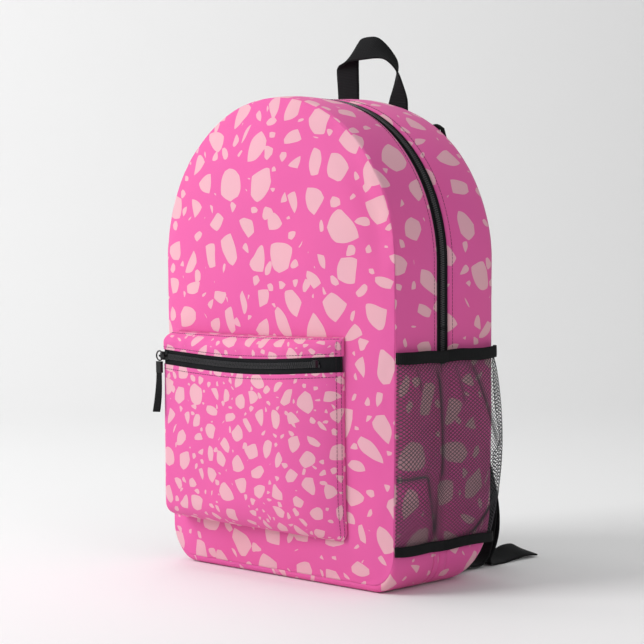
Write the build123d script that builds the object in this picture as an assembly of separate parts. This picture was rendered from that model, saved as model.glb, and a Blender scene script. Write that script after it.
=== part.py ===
from build123d import *
import math
import os

# School backpack, in millimetres.
# +X is across the bag, the front faces -Y, the straps are on the +Y side and +Z is up.
# The origin is the middle of the flat underside that the bag stands on.

# ---- driving sizes ----
WIDTH = 315.0
DEPTH = 135.0
HEIGHT = 460.0
WALL = 2.4                      # outer fabric with its backing
LINING = 0.8
GAP = 0.4                       # clearance between parts that move past each other
CORNER_RADIUS = 28.0            # lower corners of the front outline
HEEL_RADIUS = 38.0              # rounded lower back edge
TOE_RADIUS = 16.0               # rounded lower front edge
FLAP_HINGE_Z = 240.0            # where the main zip ends and the front panel folds

ZIP_Y = -4.0                    # middle of the main zip
TAPE_HALF = 8.0                 # half the width of the main zip
TOOTH_WIDTH = 2.6               # one row of teeth
TOOTH_THICK = 2.8
TOOTH_SLOT = 0.6                # half the slot between the two rows

POCKET_LEFT = -134.0
POCKET_RIGHT = 110.0
POCKET_BOTTOM = 51.0
POCKET_TOP = 232.0
POCKET_DEEP = 32.0
POCKET_WALL = 1.6
POCKET_ZIP_Z = 211.0            # middle of the pocket zip
POCKET_TAPE_HALF = 10.0

SLEEVE_Y = 50.0                 # front face of the laptop sleeve
SLEEVE_THICK = 4.0
SLEEVE_HALF = 122.0
SLEEVE_TOP = 300.0

MESH_TOP = 222.0
MESH_BOTTOM = 44.0
MESH_OUT = 12.0                 # how far a side pocket stands off the side
MESH_HALF = 62.0                # half its length along the side
MESH_THICK = 1.2

SLEEVE_FOOT = 34.0              # height of the sleeve's sewn lower edge
SLEEVE_FOOT_THICK = 4.0
BINDING_HIGH = 6.0
HOOK_STRAP_HALF = 15.0          # half the width of the strap that closes the sleeve
HOOK_STRAP_THICK = 1.5
HOOK_STRAP_TOP = 350.0
HOOK_STRAP_BEND = 312.0
HOOK_STRAP_END = 268.0

BOARD_HALF = 124.0              # stiff board in the base
BOARD_THICK = 2.5
BOARD_IN = 20.0                 # from the front
BOARD_OUT = 34.0                # from the sleeve
BOARD_ROUND = 8.0

FOAM_THICK = 8.0
FOAM_HALF = 112.0
FOAM_ROUND = 16.0
FOAM_CHANNEL = 10.0             # half the channel between the two upper pads
FOAM_LOW = (70.0, 212.0)        # heights of the lower pad
FOAM_HIGH = (232.0, 402.0)      # heights of the upper pads
COVER_THICK = 2.0
COVER_HALF = 128.0
COVER_LOW = 56.0
COVER_HIGH = 418.0
COVER_ROUND = 24.0

POCKET_CORNER = 14.0
POCKET_ZIP_START = 3.0          # from the pocket's left side
POCKET_ZIP_END = 26.0           # from the pocket's right side
POCKET_TAPE_DEPTH = (0.4, 1.2)  # from the pocket's face inwards
POCKET_TEETH_DEPTH = (-0.6, 2.2)
POCKET_STOP_DEPTH = (-0.8, 2.4)
POCKET_STOP_LONG = 4.0

MESH_BAND = 12.0                # height of the elastic top band
MESH_HEM = 8.0
BINDING_OUT = 0.6               # the band and hem stand out from the net
BINDING_IN = 1.4

PAD_WIDTH = 54.0
PAD_THICK = 12.0
WEBBING_WIDTH = 25.0
WEBBING_THICK = 1.8
STRAP_TOP_X = 52.0              # top end of a shoulder strap
STRAP_LOW_X = 104.0             # lower end of a shoulder strap
STRAP_TOP_Z = 430.0
STRAP_LOW_Z = 150.0             # foot of the ladder lock
TAB_END_Y = 79.2                # how far the sewn tab of a strap's top end reaches
TAB_HALF = 18.0
TAB_THICK = 6.0
ANCHOR_HALF = 16.0
ANCHOR_Z = (3.0, 7.0)
ANCHOR_END_Y = 74.2
ANCHOR_IN = 26.0                # from the back to the anchor's sewn end
LOCK_HALF = 18.0
LOCK_HIGH = 18.0
LOCK_Y = (85.0, 97.0)
LOCK_RIM = 4.0
LOCK_SLOTS = ((3.0, 7.0), (10.5, 14.5))     # heights in the lock
LOCK_OFFSET = 3.0               # nearer the middle than the webbing

# Routes of the straps seen from the side, as depth and height.
PAD_PATH = [(86, 437), (89, 400), (91.5, 300), (91, 172)]
LOW_PATH = [(91, 149), (112, 92), (121, 60), (111, 12), (100, 3.2), (80, 5)]
TAIL_PATH = [(95, 149), (116, 93), (125.5, 60), (117, 17), (110, 0.9), (180, 0.9)]
PAD_BEND = 12.0                 # radius at each corner of a route
LOW_BEND = 6.0
TAIL_BEND = 8.0

PLATE_THICK = 1.4               # a slider's two plates
PLATE_WIDE = 8.4
PLATE_LONG = 11.5
PLATE_ROUND = 2.4
NECK_LONG = 5.0
NECK_THICK = 2 * TOOTH_SLOT - 0.6
CROWN_OUT = 1.5                 # middle of the crown, beyond the outer plate
CROWN_SIZE = (3.6, 2.2, 8.0)
EYE_SIZE = (2.0, 2.4, 5.0)
RING_WIRE = 0.75
MAIN_RING = 4.6
POCKET_RING = 4.7
SLIDERS_APART = 7.5             # half the distance between the two main sliders
CLIP_THICK = 3.2
CLIP_HALF = 3.0
CLIP_ASIDE = 8.6                # each main pull hangs beside the zip
RING_DROP = 4.4
CLIP_DROP = (15.5, 5.5)         # its lower and upper end, below the slider's middle
RIBBON_DROP = 40.0
RIBBON_THICK = 1.2
RIBBON_WIDE = 7.0
POCKET_SLIDER_IN = 9.0          # from the pocket's left side
POCKET_SLIDER_DEPTH = 0.8
POCKET_CLIP_SPAN = (-4.0, 3.0)  # left and right of the ring's middle
POCKET_CLIP_DROP = (17.0, 5.7)
POCKET_RIBBON_DROP = 56.0

HANDLE_X = 3.0                  # middle of the grab handle
HANDLE_WIDE = 92.0
HANDLE_WEB = 27.0
HANDLE_TOP = 527.0
HANDLE_HINGE_Z = 463.0
HANDLE_SEWN_Z = 436.0
HANDLE_THICK = 2.4
HANDLE_ROUND = 28.0
HANDLE_HOLE_ROUND = 8.0

# ---- sizes that follow ----
ARCH_RADIUS = WIDTH / 2
SPRING_Z = HEIGHT - ARCH_RADIUS
FRONT = -DEPTH / 2
BACK = DEPTH / 2
POCKET_FACE = FRONT - POCKET_DEEP
FAR = 1000.0                    # larger than the whole bag


def block(x0, x1, y0, y1, z0, z1):
    """A box between two corners."""
    return Pos((x0 + x1) / 2, (y0 + y1) / 2, (z0 + z1) / 2) * Box(x1 - x0, y1 - y0, z1 - z0)


def slab_y(y0, y1):
    """Everything between two depths."""
    return block(-FAR, FAR, y0, y1, -FAR, FAR)


def above(z):
    """Everything over a height."""
    return block(-FAR, FAR, -FAR, FAR, z, FAR)


def below(z):
    """Everything under a height."""
    return block(-FAR, FAR, -FAR, FAR, -FAR, z)


def rod(axis_y_from, axis_y_to, radius, x, z):
    """A round bar along Y."""
    length = axis_y_to - axis_y_from
    return Pos(x, (axis_y_from + axis_y_to) / 2, z) * Rot(90, 0, 0) * Cylinder(radius, length)


def arch_prism(inset):
    """The bag's front outline, pulled in by a wall, run through its depth."""
    reach = ARCH_RADIUS - inset
    y0, y1 = FRONT + inset, BACK - inset
    lower = block(-reach, reach, y0, y1, inset, SPRING_Z)
    feet = lower.edges().filter_by(Axis.Y).group_by(Axis.Z)[0]
    lower = fillet(feet, CORNER_RADIUS - inset)
    return lower + rod(y0, y1, reach, 0, SPRING_Z)


def side_prism(inset):
    """The bag's side outline, with its rounded heel and toe, run across its width."""
    prism = block(-FAR, FAR, FRONT + inset, BACK - inset, inset, HEIGHT + WALL)
    low = prism.edges().filter_by(Axis.X).group_by(Axis.Z)[0].sort_by(Axis.Y)
    prism = fillet(low[0], TOE_RADIUS - inset)
    low = prism.edges().filter_by(Axis.X).group_by(Axis.Z)[0].sort_by(Axis.Y)
    return fillet(low[-1], HEEL_RADIUS - inset)


def bag_solid(inset):
    """The whole bag as one lump, pulled in by a wall."""
    return arch_prism(inset) & side_prism(inset)


def strap_band(points, radii, thick, width, x):
    """Webbing of one thickness that follows a path seen from the side."""
    with BuildSketch(Plane.YZ) as sketch:
        with BuildLine():
            FilletPolyline(*points, radius=radii)
        trace(line_width=thick)
    return Pos(x - width / 2, 0, 0) * extrude(sketch.sketch, width)


def save(name, shape):
    """Write one sub-part."""
    export_step(shape, "parts/" + name + ".step")


# ---- the bag's walls ----
def bag_walls():
    """Front, sides, base, back and the rear half of the zipped gusset."""
    shell = bag_solid(0) - bag_solid(WALL)
    tape = TAPE_HALF
    side_x = ARCH_RADIUS - CORNER_RADIUS
    band = shell & slab_y(FRONT + WALL, BACK - WALL)
    lower_band = band & below(FLAP_HINGE_Z)
    upper_band = band & above(FLAP_HINGE_Z)
    flap_band = shell & above(FLAP_HINGE_Z + GAP)
    inner = block(-side_x, side_x, -FAR, FAR, -FAR, FAR)
    save("lower_front_panel", shell & slab_y(FRONT, FRONT + WALL) & below(FLAP_HINGE_Z))
    save("back_panel", shell & slab_y(BACK - WALL, BACK))
    save("base_panel", lower_band & inner)
    save("left_side_panel", (lower_band - inner) & block(-FAR, 0, -FAR, FAR, -FAR, FAR))
    save("right_side_panel", (lower_band - inner) & block(0, FAR, -FAR, FAR, -FAR, FAR))
    save("rear_gusset", upper_band & slab_y(ZIP_Y + tape, BACK))
    save("upper_front_panel", flap_band & slab_y(FRONT, FRONT + WALL))
    save("front_gusset", flap_band & slab_y(FRONT + WALL, ZIP_Y - tape))
    inner_edge = TOOTH_SLOT + TOOTH_WIDTH
    thin = (bag_solid(0) - bag_solid(WALL / 2)) & above(FLAP_HINGE_Z + GAP)
    save("rear_zip_tape", thin & slab_y(ZIP_Y + inner_edge, ZIP_Y + tape))
    save("front_zip_tape", thin & slab_y(ZIP_Y - tape, ZIP_Y - inner_edge))
    rib = (TOOTH_THICK - WALL / 2) / 2
    teeth = tooth_shell(rib) & above(FLAP_HINGE_Z + GAP)
    save("rear_zip_teeth", teeth & slab_y(ZIP_Y + TOOTH_SLOT, ZIP_Y + inner_edge))
    save("front_zip_teeth", teeth & slab_y(ZIP_Y - inner_edge, ZIP_Y - TOOTH_SLOT))


def tooth_shell(rib):
    """The arch-shaped band that the rows of teeth are cut from."""
    outer = ARCH_RADIUS + rib
    inner = ARCH_RADIUS - WALL / 2 - rib
    y0, y1 = ZIP_Y - TAPE_HALF, ZIP_Y + TAPE_HALF
    big = block(-outer, outer, y0, y1, 0, SPRING_Z) + rod(y0, y1, outer, 0, SPRING_Z)
    small = block(-inner, inner, y0, y1, 0, SPRING_Z) + rod(y0, y1, inner, 0, SPRING_Z)
    return big - small


def zip_ends():
    """The sewn-down lower ends of the main zip, one on each side panel."""
    ends = []
    for side in (-1, 1):
        x = side * (ARCH_RADIUS + 0.5)
        ends.append(block(x - 0.5, x + 0.5, ZIP_Y - TAPE_HALF, ZIP_Y + TAPE_HALF,
                          MESH_TOP - 8, FLAP_HINGE_Z))
    save("zip_end_tapes", Compound(ends))


def linings():
    """Thin cloth inside the bag and inside the flap."""
    skin = bag_solid(WALL) - bag_solid(WALL + LINING)
    rear = skin & slab_y(ZIP_Y + TAPE_HALF, BACK) & above(FLAP_HINGE_Z - 1)
    save("main_lining", (skin & below(FLAP_HINGE_Z)) + rear)
    front = skin & above(FLAP_HINGE_Z + GAP)
    save("flap_lining", front & slab_y(FRONT, ZIP_Y - TAPE_HALF))


def inside_parts():
    """Stiff base board and the laptop sleeve with its bound top edge and hook strap."""
    floor_z = WALL + LINING
    inner_back = BACK - floor_z
    board = block(-BOARD_HALF, BOARD_HALF, FRONT + BOARD_IN, SLEEVE_Y - BOARD_OUT,
                  floor_z, floor_z + BOARD_THICK)
    save("base_board", fillet(board.edges().filter_by(Axis.Z), BOARD_ROUND))
    sleeve_back = SLEEVE_Y + SLEEVE_THICK
    sleeve = block(-SLEEVE_HALF, SLEEVE_HALF, SLEEVE_Y, sleeve_back, SLEEVE_FOOT, SLEEVE_TOP)
    sleeve += block(-SLEEVE_HALF, SLEEVE_HALF, SLEEVE_Y, inner_back,
                    SLEEVE_FOOT - SLEEVE_FOOT_THICK, SLEEVE_FOOT)
    edge = SLEEVE_THICK / 2
    for side in (-1, 1):
        x = side * SLEEVE_HALF
        sleeve += block(x - edge, x + edge, sleeve_back, inner_back, SLEEVE_FOOT, SLEEVE_TOP)
    save("laptop_sleeve", sleeve & bag_solid(floor_z))
    binding = block(-SLEEVE_HALF, SLEEVE_HALF, SLEEVE_Y - 1, sleeve_back + 1,
                    SLEEVE_TOP, SLEEVE_TOP + BINDING_HIGH)
    save("sleeve_binding", fillet(binding.edges().filter_by(Axis.X), 1.5))
    half, thick, bend = HOOK_STRAP_HALF, HOOK_STRAP_THICK, HOOK_STRAP_BEND
    front = SLEEVE_Y - 1 - thick
    strap = block(-half, half, inner_back - thick, inner_back, bend, HOOK_STRAP_TOP)
    strap += block(-half, half, front, inner_back, bend - thick, bend)
    strap += block(-half, half, front, front + thick, HOOK_STRAP_END, bend)
    save("sleeve_closure_strap", strap)


def back_padding():
    """Three foam pads on the back, and the air mesh that covers them."""
    foam = BACK + FOAM_THICK
    pads = [block(x0, x1, BACK, foam, z0, z1) for x0, x1, (z0, z1) in
            ((-FOAM_HALF, -FOAM_CHANNEL, FOAM_HIGH), (FOAM_CHANNEL, FOAM_HALF, FOAM_HIGH),
             (-FOAM_HALF, FOAM_HALF, FOAM_LOW))]
    pads = [fillet(pad.edges().filter_by(Axis.Y), FOAM_ROUND) for pad in pads]
    save("back_foam_pads", Compound(pads))
    cover = block(-COVER_HALF, COVER_HALF, foam, foam + COVER_THICK, COVER_LOW, COVER_HIGH)
    save("back_mesh_cover", fillet(cover.edges().filter_by(Axis.Y), COVER_ROUND))


# ---- front pocket ----
def front_pocket():
    """A box pocket with a zip across the top of its face."""
    face = POCKET_FACE
    walls = block(POCKET_LEFT, POCKET_RIGHT, face, FRONT, POCKET_BOTTOM, POCKET_TOP)
    walls = fillet(walls.edges().filter_by(Axis.Y), POCKET_CORNER)
    wall = POCKET_WALL
    core = block(POCKET_LEFT + wall, POCKET_RIGHT - wall, face, FRONT,
                 POCKET_BOTTOM + wall, POCKET_TOP - wall)
    core = fillet(core.edges().filter_by(Axis.Y), POCKET_CORNER - wall)
    save("pocket_gusset", (walls - core) & slab_y(face + wall, FRONT))
    skin = walls & slab_y(face, face + wall)
    zip_low, zip_high = POCKET_ZIP_Z - POCKET_TAPE_HALF, POCKET_ZIP_Z + POCKET_TAPE_HALF
    save("pocket_front_panel", skin & below(zip_low))
    save("pocket_top_strip", skin & above(zip_high))
    tape = skin & slab_y(*(face + depth for depth in POCKET_TAPE_DEPTH))
    row = TOOTH_SLOT + TOOTH_WIDTH
    upper = tape & above(POCKET_ZIP_Z + row) & below(zip_high)
    lower = tape & below(POCKET_ZIP_Z - row) & above(zip_low)
    save("pocket_zip_tape", Compound([upper.solid(), lower.solid()]))
    start, end = POCKET_LEFT + POCKET_ZIP_START, POCKET_RIGHT - POCKET_ZIP_END
    y0, y1 = (face + depth for depth in POCKET_TEETH_DEPTH)
    rows = [block(start, end, y0, y1, POCKET_ZIP_Z + a, POCKET_ZIP_Z + b)
            for a, b in ((-row, -TOOTH_SLOT), (TOOTH_SLOT, row))]
    save("pocket_zip_teeth", Compound(rows))
    y0, y1 = (face + depth for depth in POCKET_STOP_DEPTH)
    save("pocket_zip_stop", block(end, end + POCKET_STOP_LONG, y0, y1,
                                  POCKET_ZIP_Z - row, POCKET_ZIP_Z + row))


# ---- mesh side pockets ----
def mesh_pockets():
    """Net pocket on each side, open at the top, with an elastic top band and a bound hem."""
    for side, name in ((-1, "left"), (1, "right")):
        wall = ARCH_RADIUS + GAP
        out = wall + MESH_OUT
        edge = out + BINDING_OUT
        half = MESH_HALF + BINDING_OUT
        inside = MESH_HALF - BINDING_IN
        band_low = MESH_TOP - MESH_BAND
        net = block(wall, out, -MESH_HALF, MESH_HALF, MESH_BOTTOM, band_low)
        net -= block(wall, out - MESH_THICK, -MESH_HALF + MESH_THICK, MESH_HALF - MESH_THICK,
                     MESH_BOTTOM + MESH_THICK, MESH_TOP)
        band = block(wall, edge, -half, half, band_low, MESH_TOP)
        band -= block(wall, out - BINDING_IN, -inside, inside, 0, HEIGHT)
        hem = block(wall, edge, -half, half, MESH_BOTTOM - MESH_HEM, MESH_BOTTOM)
        turn = Rot(0, 0, 180) if side < 0 else Rot(0, 0, 0)
        save("mesh_pocket_" + name, turn * net)
        save("mesh_pocket_elastic_" + name, turn * band)
        save("mesh_pocket_hem_" + name, turn * hem)


# ---- carrying parts ----
def grab_handle():
    """A webbing loop over the top of the back, and its sewn-down ends."""
    half = HANDLE_WIDE / 2
    y0, y1 = BACK + GAP, BACK + GAP + HANDLE_THICK
    loop = block(HANDLE_X - half, HANDLE_X + half, y0, y1, HANDLE_HINGE_Z, HANDLE_TOP)
    top = loop.edges().filter_by(Axis.Y).group_by(Axis.Z)[-1]
    loop = fillet(top, HANDLE_ROUND)
    hole = block(HANDLE_X - half + HANDLE_WEB, HANDLE_X + half - HANDLE_WEB, y0, y1,
                 HANDLE_HINGE_Z, HANDLE_TOP - HANDLE_WEB)
    hole = fillet(hole.edges().filter_by(Axis.Y).group_by(Axis.Z)[-1], HANDLE_HOLE_ROUND)
    save("grab_handle", loop - hole)
    ends = [block(x, x + HANDLE_WEB, BACK, y1, HANDLE_SEWN_Z, HANDLE_HINGE_Z - 4 * GAP)
            for x in (HANDLE_X - half, HANDLE_X + half - HANDLE_WEB)]
    save("handle_anchors", Compound(ends))


def ladder_lock(x):
    """The plastic buckle at the foot of a pad, with its two slots."""
    y0, y1 = LOCK_Y
    inner = LOCK_HALF - LOCK_RIM
    lock = block(x - LOCK_HALF, x + LOCK_HALF, y0, y1, STRAP_LOW_Z, STRAP_LOW_Z + LOCK_HIGH)
    for low, high in LOCK_SLOTS:
        lock -= block(x - inner, x + inner, y0 - 1, y1 + 1, STRAP_LOW_Z + low, STRAP_LOW_Z + high)
    return lock


def shoulder_straps():
    """Padded strap, ladder lock, lower webbing and its loose tail, on each side."""
    bag = bag_solid(0)
    spread = STRAP_LOW_X - STRAP_TOP_X
    lean = math.degrees(math.atan2(spread, STRAP_TOP_Z - STRAP_LOW_Z))
    for side, name in ((-1, "left"), (1, "right")):
        top_x = side * STRAP_TOP_X
        low_x = side * STRAP_LOW_X
        pad = strap_band(PAD_PATH, PAD_BEND, PAD_THICK, PAD_WIDTH, 0)
        tilt = Pos(top_x, 0, STRAP_TOP_Z) * Rot(0, -side * lean, 0) * Pos(0, 0, -STRAP_TOP_Z)
        save("shoulder_pad_" + name, tilt * pad)
        save("ladder_lock_" + name, ladder_lock(low_x - side * LOCK_OFFSET))
        save("lower_webbing_" + name,
             strap_band(LOW_PATH, LOW_BEND, WEBBING_THICK, WEBBING_WIDTH, low_x))
        save("strap_tail_" + name,
             strap_band(TAIL_PATH, TAIL_BEND, WEBBING_THICK, WEBBING_WIDTH, low_x))
        anchor = block(low_x - ANCHOR_HALF, low_x + ANCHOR_HALF, BACK - ANCHOR_IN,
                       ANCHOR_END_Y, *ANCHOR_Z)
        save("strap_anchor_tab_" + name, anchor - bag)
    tabs = [block(side * STRAP_TOP_X - TAB_HALF, side * STRAP_TOP_X + TAB_HALF, BACK, TAB_END_Y,
                  STRAP_TOP_Z - TAB_THICK / 2, STRAP_TOP_Z + TAB_THICK / 2) for side in (-1, 1)]
    save("strap_top_tabs", Compound(tabs))


# ---- zip sliders and pulls ----
def slider(x, y, z, out_x):
    """A slider on the side of the bag: two flat plates, the neck between them, and a crown."""
    hug = TOOTH_THICK / 2 + GAP
    mid = x - out_x * WALL / 4
    parts = Pos(mid, y, z) * Box(2 * hug + 1, NECK_THICK, NECK_LONG)
    for where in (-1, 1):
        at = mid + where * out_x * (hug + PLATE_THICK / 2)
        plate = Pos(at, y, z) * Box(PLATE_THICK, PLATE_WIDE, PLATE_LONG)
        parts += fillet(plate.edges().filter_by(Axis.X), PLATE_ROUND)
    bridge_x = mid + out_x * (hug + PLATE_THICK + CROWN_OUT)
    return parts + Pos(bridge_x, y, z) * (Box(*CROWN_SIZE) - Box(*EYE_SIZE))


def main_sliders():
    """Two sliders that meet at the left spring of the arch, each with a ring and ribbon pull."""
    x = -ARCH_RADIUS
    crown_x = x + WALL / 4 - (TOOTH_THICK / 2 + GAP + PLATE_THICK + CROWN_OUT)
    turn = math.degrees(math.asin(SLIDERS_APART / ARCH_RADIUS))
    on_arch = Pos(0, 0, SPRING_Z) * Rot(0, turn, 0) * Pos(0, 0, -SPRING_Z)
    on_side = Pos(0, 0, -SLIDERS_APART)
    half_clip, half_ribbon = CLIP_THICK / 2, RIBBON_THICK / 2
    for name, place, lean in (("upper", on_arch, 1), ("lower", on_side, -1)):
        z = SPRING_Z
        clip_y = ZIP_Y + lean * CLIP_ASIDE
        ribbon_y = clip_y + lean
        ring = Pos(crown_x, ZIP_Y, z - RING_DROP) * Rot(0, 90, 0) * Torus(MAIN_RING, RING_WIRE)
        clip = block(crown_x - half_clip, crown_x + half_clip, clip_y - CLIP_HALF,
                     clip_y + CLIP_HALF, z - CLIP_DROP[0], z - CLIP_DROP[1])
        ribbon = block(crown_x - half_ribbon, crown_x + half_ribbon, ribbon_y - RIBBON_WIDE / 2,
                       ribbon_y + RIBBON_WIDE / 2, z - RIBBON_DROP, z - CLIP_DROP[0])
        save("main_slider_" + name, place * slider(x, ZIP_Y, z, -1))
        save("ring_" + name, place * ring)
        save("clip_" + name, place * clip)
        save("ribbon_" + name, place * ribbon)


def pocket_slider():
    """The pocket's slider at the left end of its zip, with ring, clip and ribbon."""
    x = POCKET_LEFT + POCKET_SLIDER_IN
    z = POCKET_ZIP_Z
    mid = POCKET_FACE + POCKET_SLIDER_DEPTH
    hug = TOOTH_THICK / 2 + GAP
    plates = [Pos(x, mid + where * (hug + PLATE_THICK / 2), z)
              * Box(PLATE_LONG, PLATE_THICK, PLATE_WIDE) for where in (-1, 1)]
    plates = [fillet(plate.edges().filter_by(Axis.Y), PLATE_ROUND) for plate in plates]
    neck = Pos(x, mid, z) * Box(NECK_LONG, 2 * hug + 1, NECK_THICK)
    crown_y = mid - (hug + PLATE_THICK + CROWN_OUT)
    out, across, along = CROWN_SIZE
    eye_out, eye_across, eye_along = EYE_SIZE
    crown = Box(along, out, across) - Box(eye_along, eye_out, eye_across)
    save("pocket_slider", plates[0] + plates[1] + neck + Pos(x, crown_y, z) * crown)
    ring_x = x - POCKET_RING
    save("ring_pocket", Pos(ring_x, crown_y, z) * Rot(90, 0, 0) * Torus(POCKET_RING, RING_WIRE))
    left, right = (ring_x + reach for reach in POCKET_CLIP_SPAN)
    for name, thick, low, high in (("clip", CLIP_THICK, *POCKET_CLIP_DROP),
                                   ("ribbon", RIBBON_THICK, POCKET_RIBBON_DROP,
                                    POCKET_CLIP_DROP[0])):
        save(name + "_pocket", block(left, right, crown_y - thick / 2, crown_y + thick / 2,
                                     z - low, z - high))


def main():
    os.makedirs("parts", exist_ok=True)
    bag_walls()
    zip_ends()
    linings()
    inside_parts()
    back_padding()
    front_pocket()
    mesh_pockets()
    grab_handle()
    shoulder_straps()
    main_sliders()
    pocket_slider()


main()
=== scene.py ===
import math

import bpy
import numpy as np
from mathutils import Matrix, Vector, noise


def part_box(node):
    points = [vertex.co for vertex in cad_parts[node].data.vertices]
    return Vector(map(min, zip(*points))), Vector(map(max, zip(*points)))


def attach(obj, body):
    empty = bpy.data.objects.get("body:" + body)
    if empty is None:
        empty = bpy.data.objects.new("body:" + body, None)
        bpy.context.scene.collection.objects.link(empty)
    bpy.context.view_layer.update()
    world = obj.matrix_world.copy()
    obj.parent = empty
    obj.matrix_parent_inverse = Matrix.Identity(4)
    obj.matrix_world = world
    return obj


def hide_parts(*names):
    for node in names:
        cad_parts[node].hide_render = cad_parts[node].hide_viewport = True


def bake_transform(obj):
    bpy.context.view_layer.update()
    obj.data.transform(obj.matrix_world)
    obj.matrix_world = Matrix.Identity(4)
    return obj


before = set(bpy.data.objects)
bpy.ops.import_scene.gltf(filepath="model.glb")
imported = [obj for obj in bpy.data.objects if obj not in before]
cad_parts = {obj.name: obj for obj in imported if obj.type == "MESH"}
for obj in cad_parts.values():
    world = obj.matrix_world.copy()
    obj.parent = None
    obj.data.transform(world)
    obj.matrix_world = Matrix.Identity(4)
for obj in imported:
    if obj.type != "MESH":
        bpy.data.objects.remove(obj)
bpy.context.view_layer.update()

MM = 0.001


# ---------------------------------------------------------------- places taken from the frame
def node_box(name):
    """Lowest and highest corner of a CAD node, in millimetres."""
    low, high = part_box(name)
    return np.array(low) / MM, np.array(high) / MM


FRONT = node_box("lower_front_panel")[0][1]
BACK = node_box("back_panel")[1][1]
HALF = node_box("back_panel")[1][0]
TOP = node_box("back_panel")[1][2]
SPRING = TOP - HALF
HINGE_Z = node_box("lower_front_panel")[1][2]
ZIP_Y = (node_box("front_zip_teeth")[1][1] + node_box("rear_zip_teeth")[0][1]) / 2
TAPE_HALF = ZIP_Y - node_box("front_zip_tape")[0][1]
NET_TOP = node_box("mesh_pocket_elastic_right")[1][2]
BAND_LOW = node_box("mesh_pocket_elastic_right")[0][2]
HEM_LOW = node_box("mesh_pocket_hem_right")[0][2]
HEM_HIGH = node_box("mesh_pocket_hem_right")[1][2]
POCKET_LOW, POCKET_HIGH = node_box("pocket_gusset")
POCKET_FACE = node_box("pocket_front_panel")[0][1]
POCKET_TAPE_LOW = node_box("pocket_zip_tape")[0][2]
POCKET_TAPE_HIGH = node_box("pocket_zip_tape")[1][2]
POCKET_ZIP_Z = (POCKET_TAPE_LOW + POCKET_TAPE_HIGH) / 2
POCKET_TAPE_LOW += 2.0          # the cloth overlaps the tape's edges
POCKET_TAPE_HIGH -= 3.4

CORNER = 28.0                   # lower corners of the outline
HEEL = 38.0                     # rounded lower back edge
TOE = 7.0                       # rounded lower front edge
TAPER = 6.0                     # how much narrower the bag is at its foot
TAPER_CURVE = 1.6
DOME = 13.0                     # how far the stuffed front stands out
DOME_REACH = 125.0
FABRIC = 1.1                    # thickness of the printed cloth
COIL_PITCH = 2.1                # between the teeth of a zip


# ---------------------------------------------------------------- small mathematics
SPLINE_STEPS = 16               # between two points of a curve, before it is evenly divided


def smooth(t):
    t = np.clip(t, 0.0, 1.0)
    return t * t * (3 - 2 * t)


def rise(distance, reach, power=2.4):
    """From 0 at an edge to 1 at a reach inside it, steep at the edge like stuffed cloth."""
    s = np.clip(distance / reach, 0.0, 1.0)
    return (1 - (1 - s) ** power) ** (1 / power)


def smooth_min(a, b, k):
    h = np.clip(0.5 + 0.5 * (b - a) / k, 0.0, 1.0)
    return b * (1 - h) + a * h - k * h * (1 - h)


def ripple(points, scale, seed=0.0):
    """Smooth noise in -1..1 at each point, for wrinkles of about the given size."""
    flat = np.asarray(points, float).reshape(-1, 3) / scale + seed
    values = [noise.noise(Vector(p)) for p in flat]
    return np.array(values).reshape(np.asarray(points).shape[:-1])


def spline(points, steps):
    """A Catmull-Rom curve through given points, evenly divided."""
    p = np.asarray(points, float)
    p = np.vstack([2 * p[0] - p[1], p, 2 * p[-1] - p[-2]])
    out = []
    for k in range(1, len(p) - 2):
        for t in np.linspace(0, 1, SPLINE_STEPS, endpoint=False):
            a, b, c, d = p[k - 1], p[k], p[k + 1], p[k + 2]
            out.append(0.5 * ((2 * b) + (c - a) * t + (2 * a - 5 * b + 4 * c - d) * t * t
                              + (3 * b - 3 * c + d - a) * t ** 3))
    out = np.array(out + [p[-2]])
    run = lengths(out)
    return sample(np.linspace(0, run[-1], steps), run, out)


def lengths(path):
    """Distance along a path at each of its points."""
    return np.concatenate([[0], np.cumsum(np.linalg.norm(np.diff(path, axis=0), axis=1))])


def sample(at, run, path):
    """Points of a path at the given distances along it."""
    return np.stack([np.interp(at, run, path[:, i]) for i in range(path.shape[1])], axis=1)


def closed_loop(path):
    return np.vstack([path, path[:1]])


def unit(v):
    return v / np.maximum(np.linalg.norm(v, axis=-1, keepdims=True), 1e-9)


# ---------------------------------------------------------------- meshes
def make_object(name, verts, faces, material, cloth=None, shade_smooth=True):
    """A mesh object from points in millimetres, with each point's place on the flat cloth."""
    mesh = bpy.data.meshes.new(name)
    mesh.from_pydata((np.asarray(verts) * MM).tolist(), [], faces)
    if cloth is not None:
        layer = mesh.attributes.new("cloth", "FLOAT_VECTOR", "POINT")
        flat = np.zeros((len(verts), 3), np.float32)
        flat[:, :2] = np.asarray(cloth).reshape(-1, 2) * MM
        layer.data.foreach_set("vector", flat.ravel())
    obj = bpy.data.objects.new(name, mesh)
    bpy.context.scene.collection.objects.link(obj)
    for m in material if isinstance(material, (list, tuple)) else [material]:
        mesh.materials.append(m)
    if shade_smooth:
        mesh.polygons.foreach_set("use_smooth", [True] * len(mesh.polygons))
    mesh.validate()
    return obj


def grid_faces(rows, cols, closed=False, flip=False):
    faces = []
    last = cols if closed else cols - 1
    for r in range(rows - 1):
        for c in range(last):
            d = (c + 1) % cols
            quad = [r * cols + c, r * cols + d, (r + 1) * cols + d, (r + 1) * cols + c]
            faces.append(quad[::-1] if flip else quad)
    return faces


def settle(obj):
    """Applies an object's modifiers to its mesh."""
    depsgraph = bpy.context.evaluated_depsgraph_get()
    mesh = bpy.data.meshes.new_from_object(obj.evaluated_get(depsgraph))
    old = obj.data
    obj.modifiers.clear()
    obj.data = mesh
    bpy.data.meshes.remove(old)
    mesh.name = obj.name
    return obj


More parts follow.
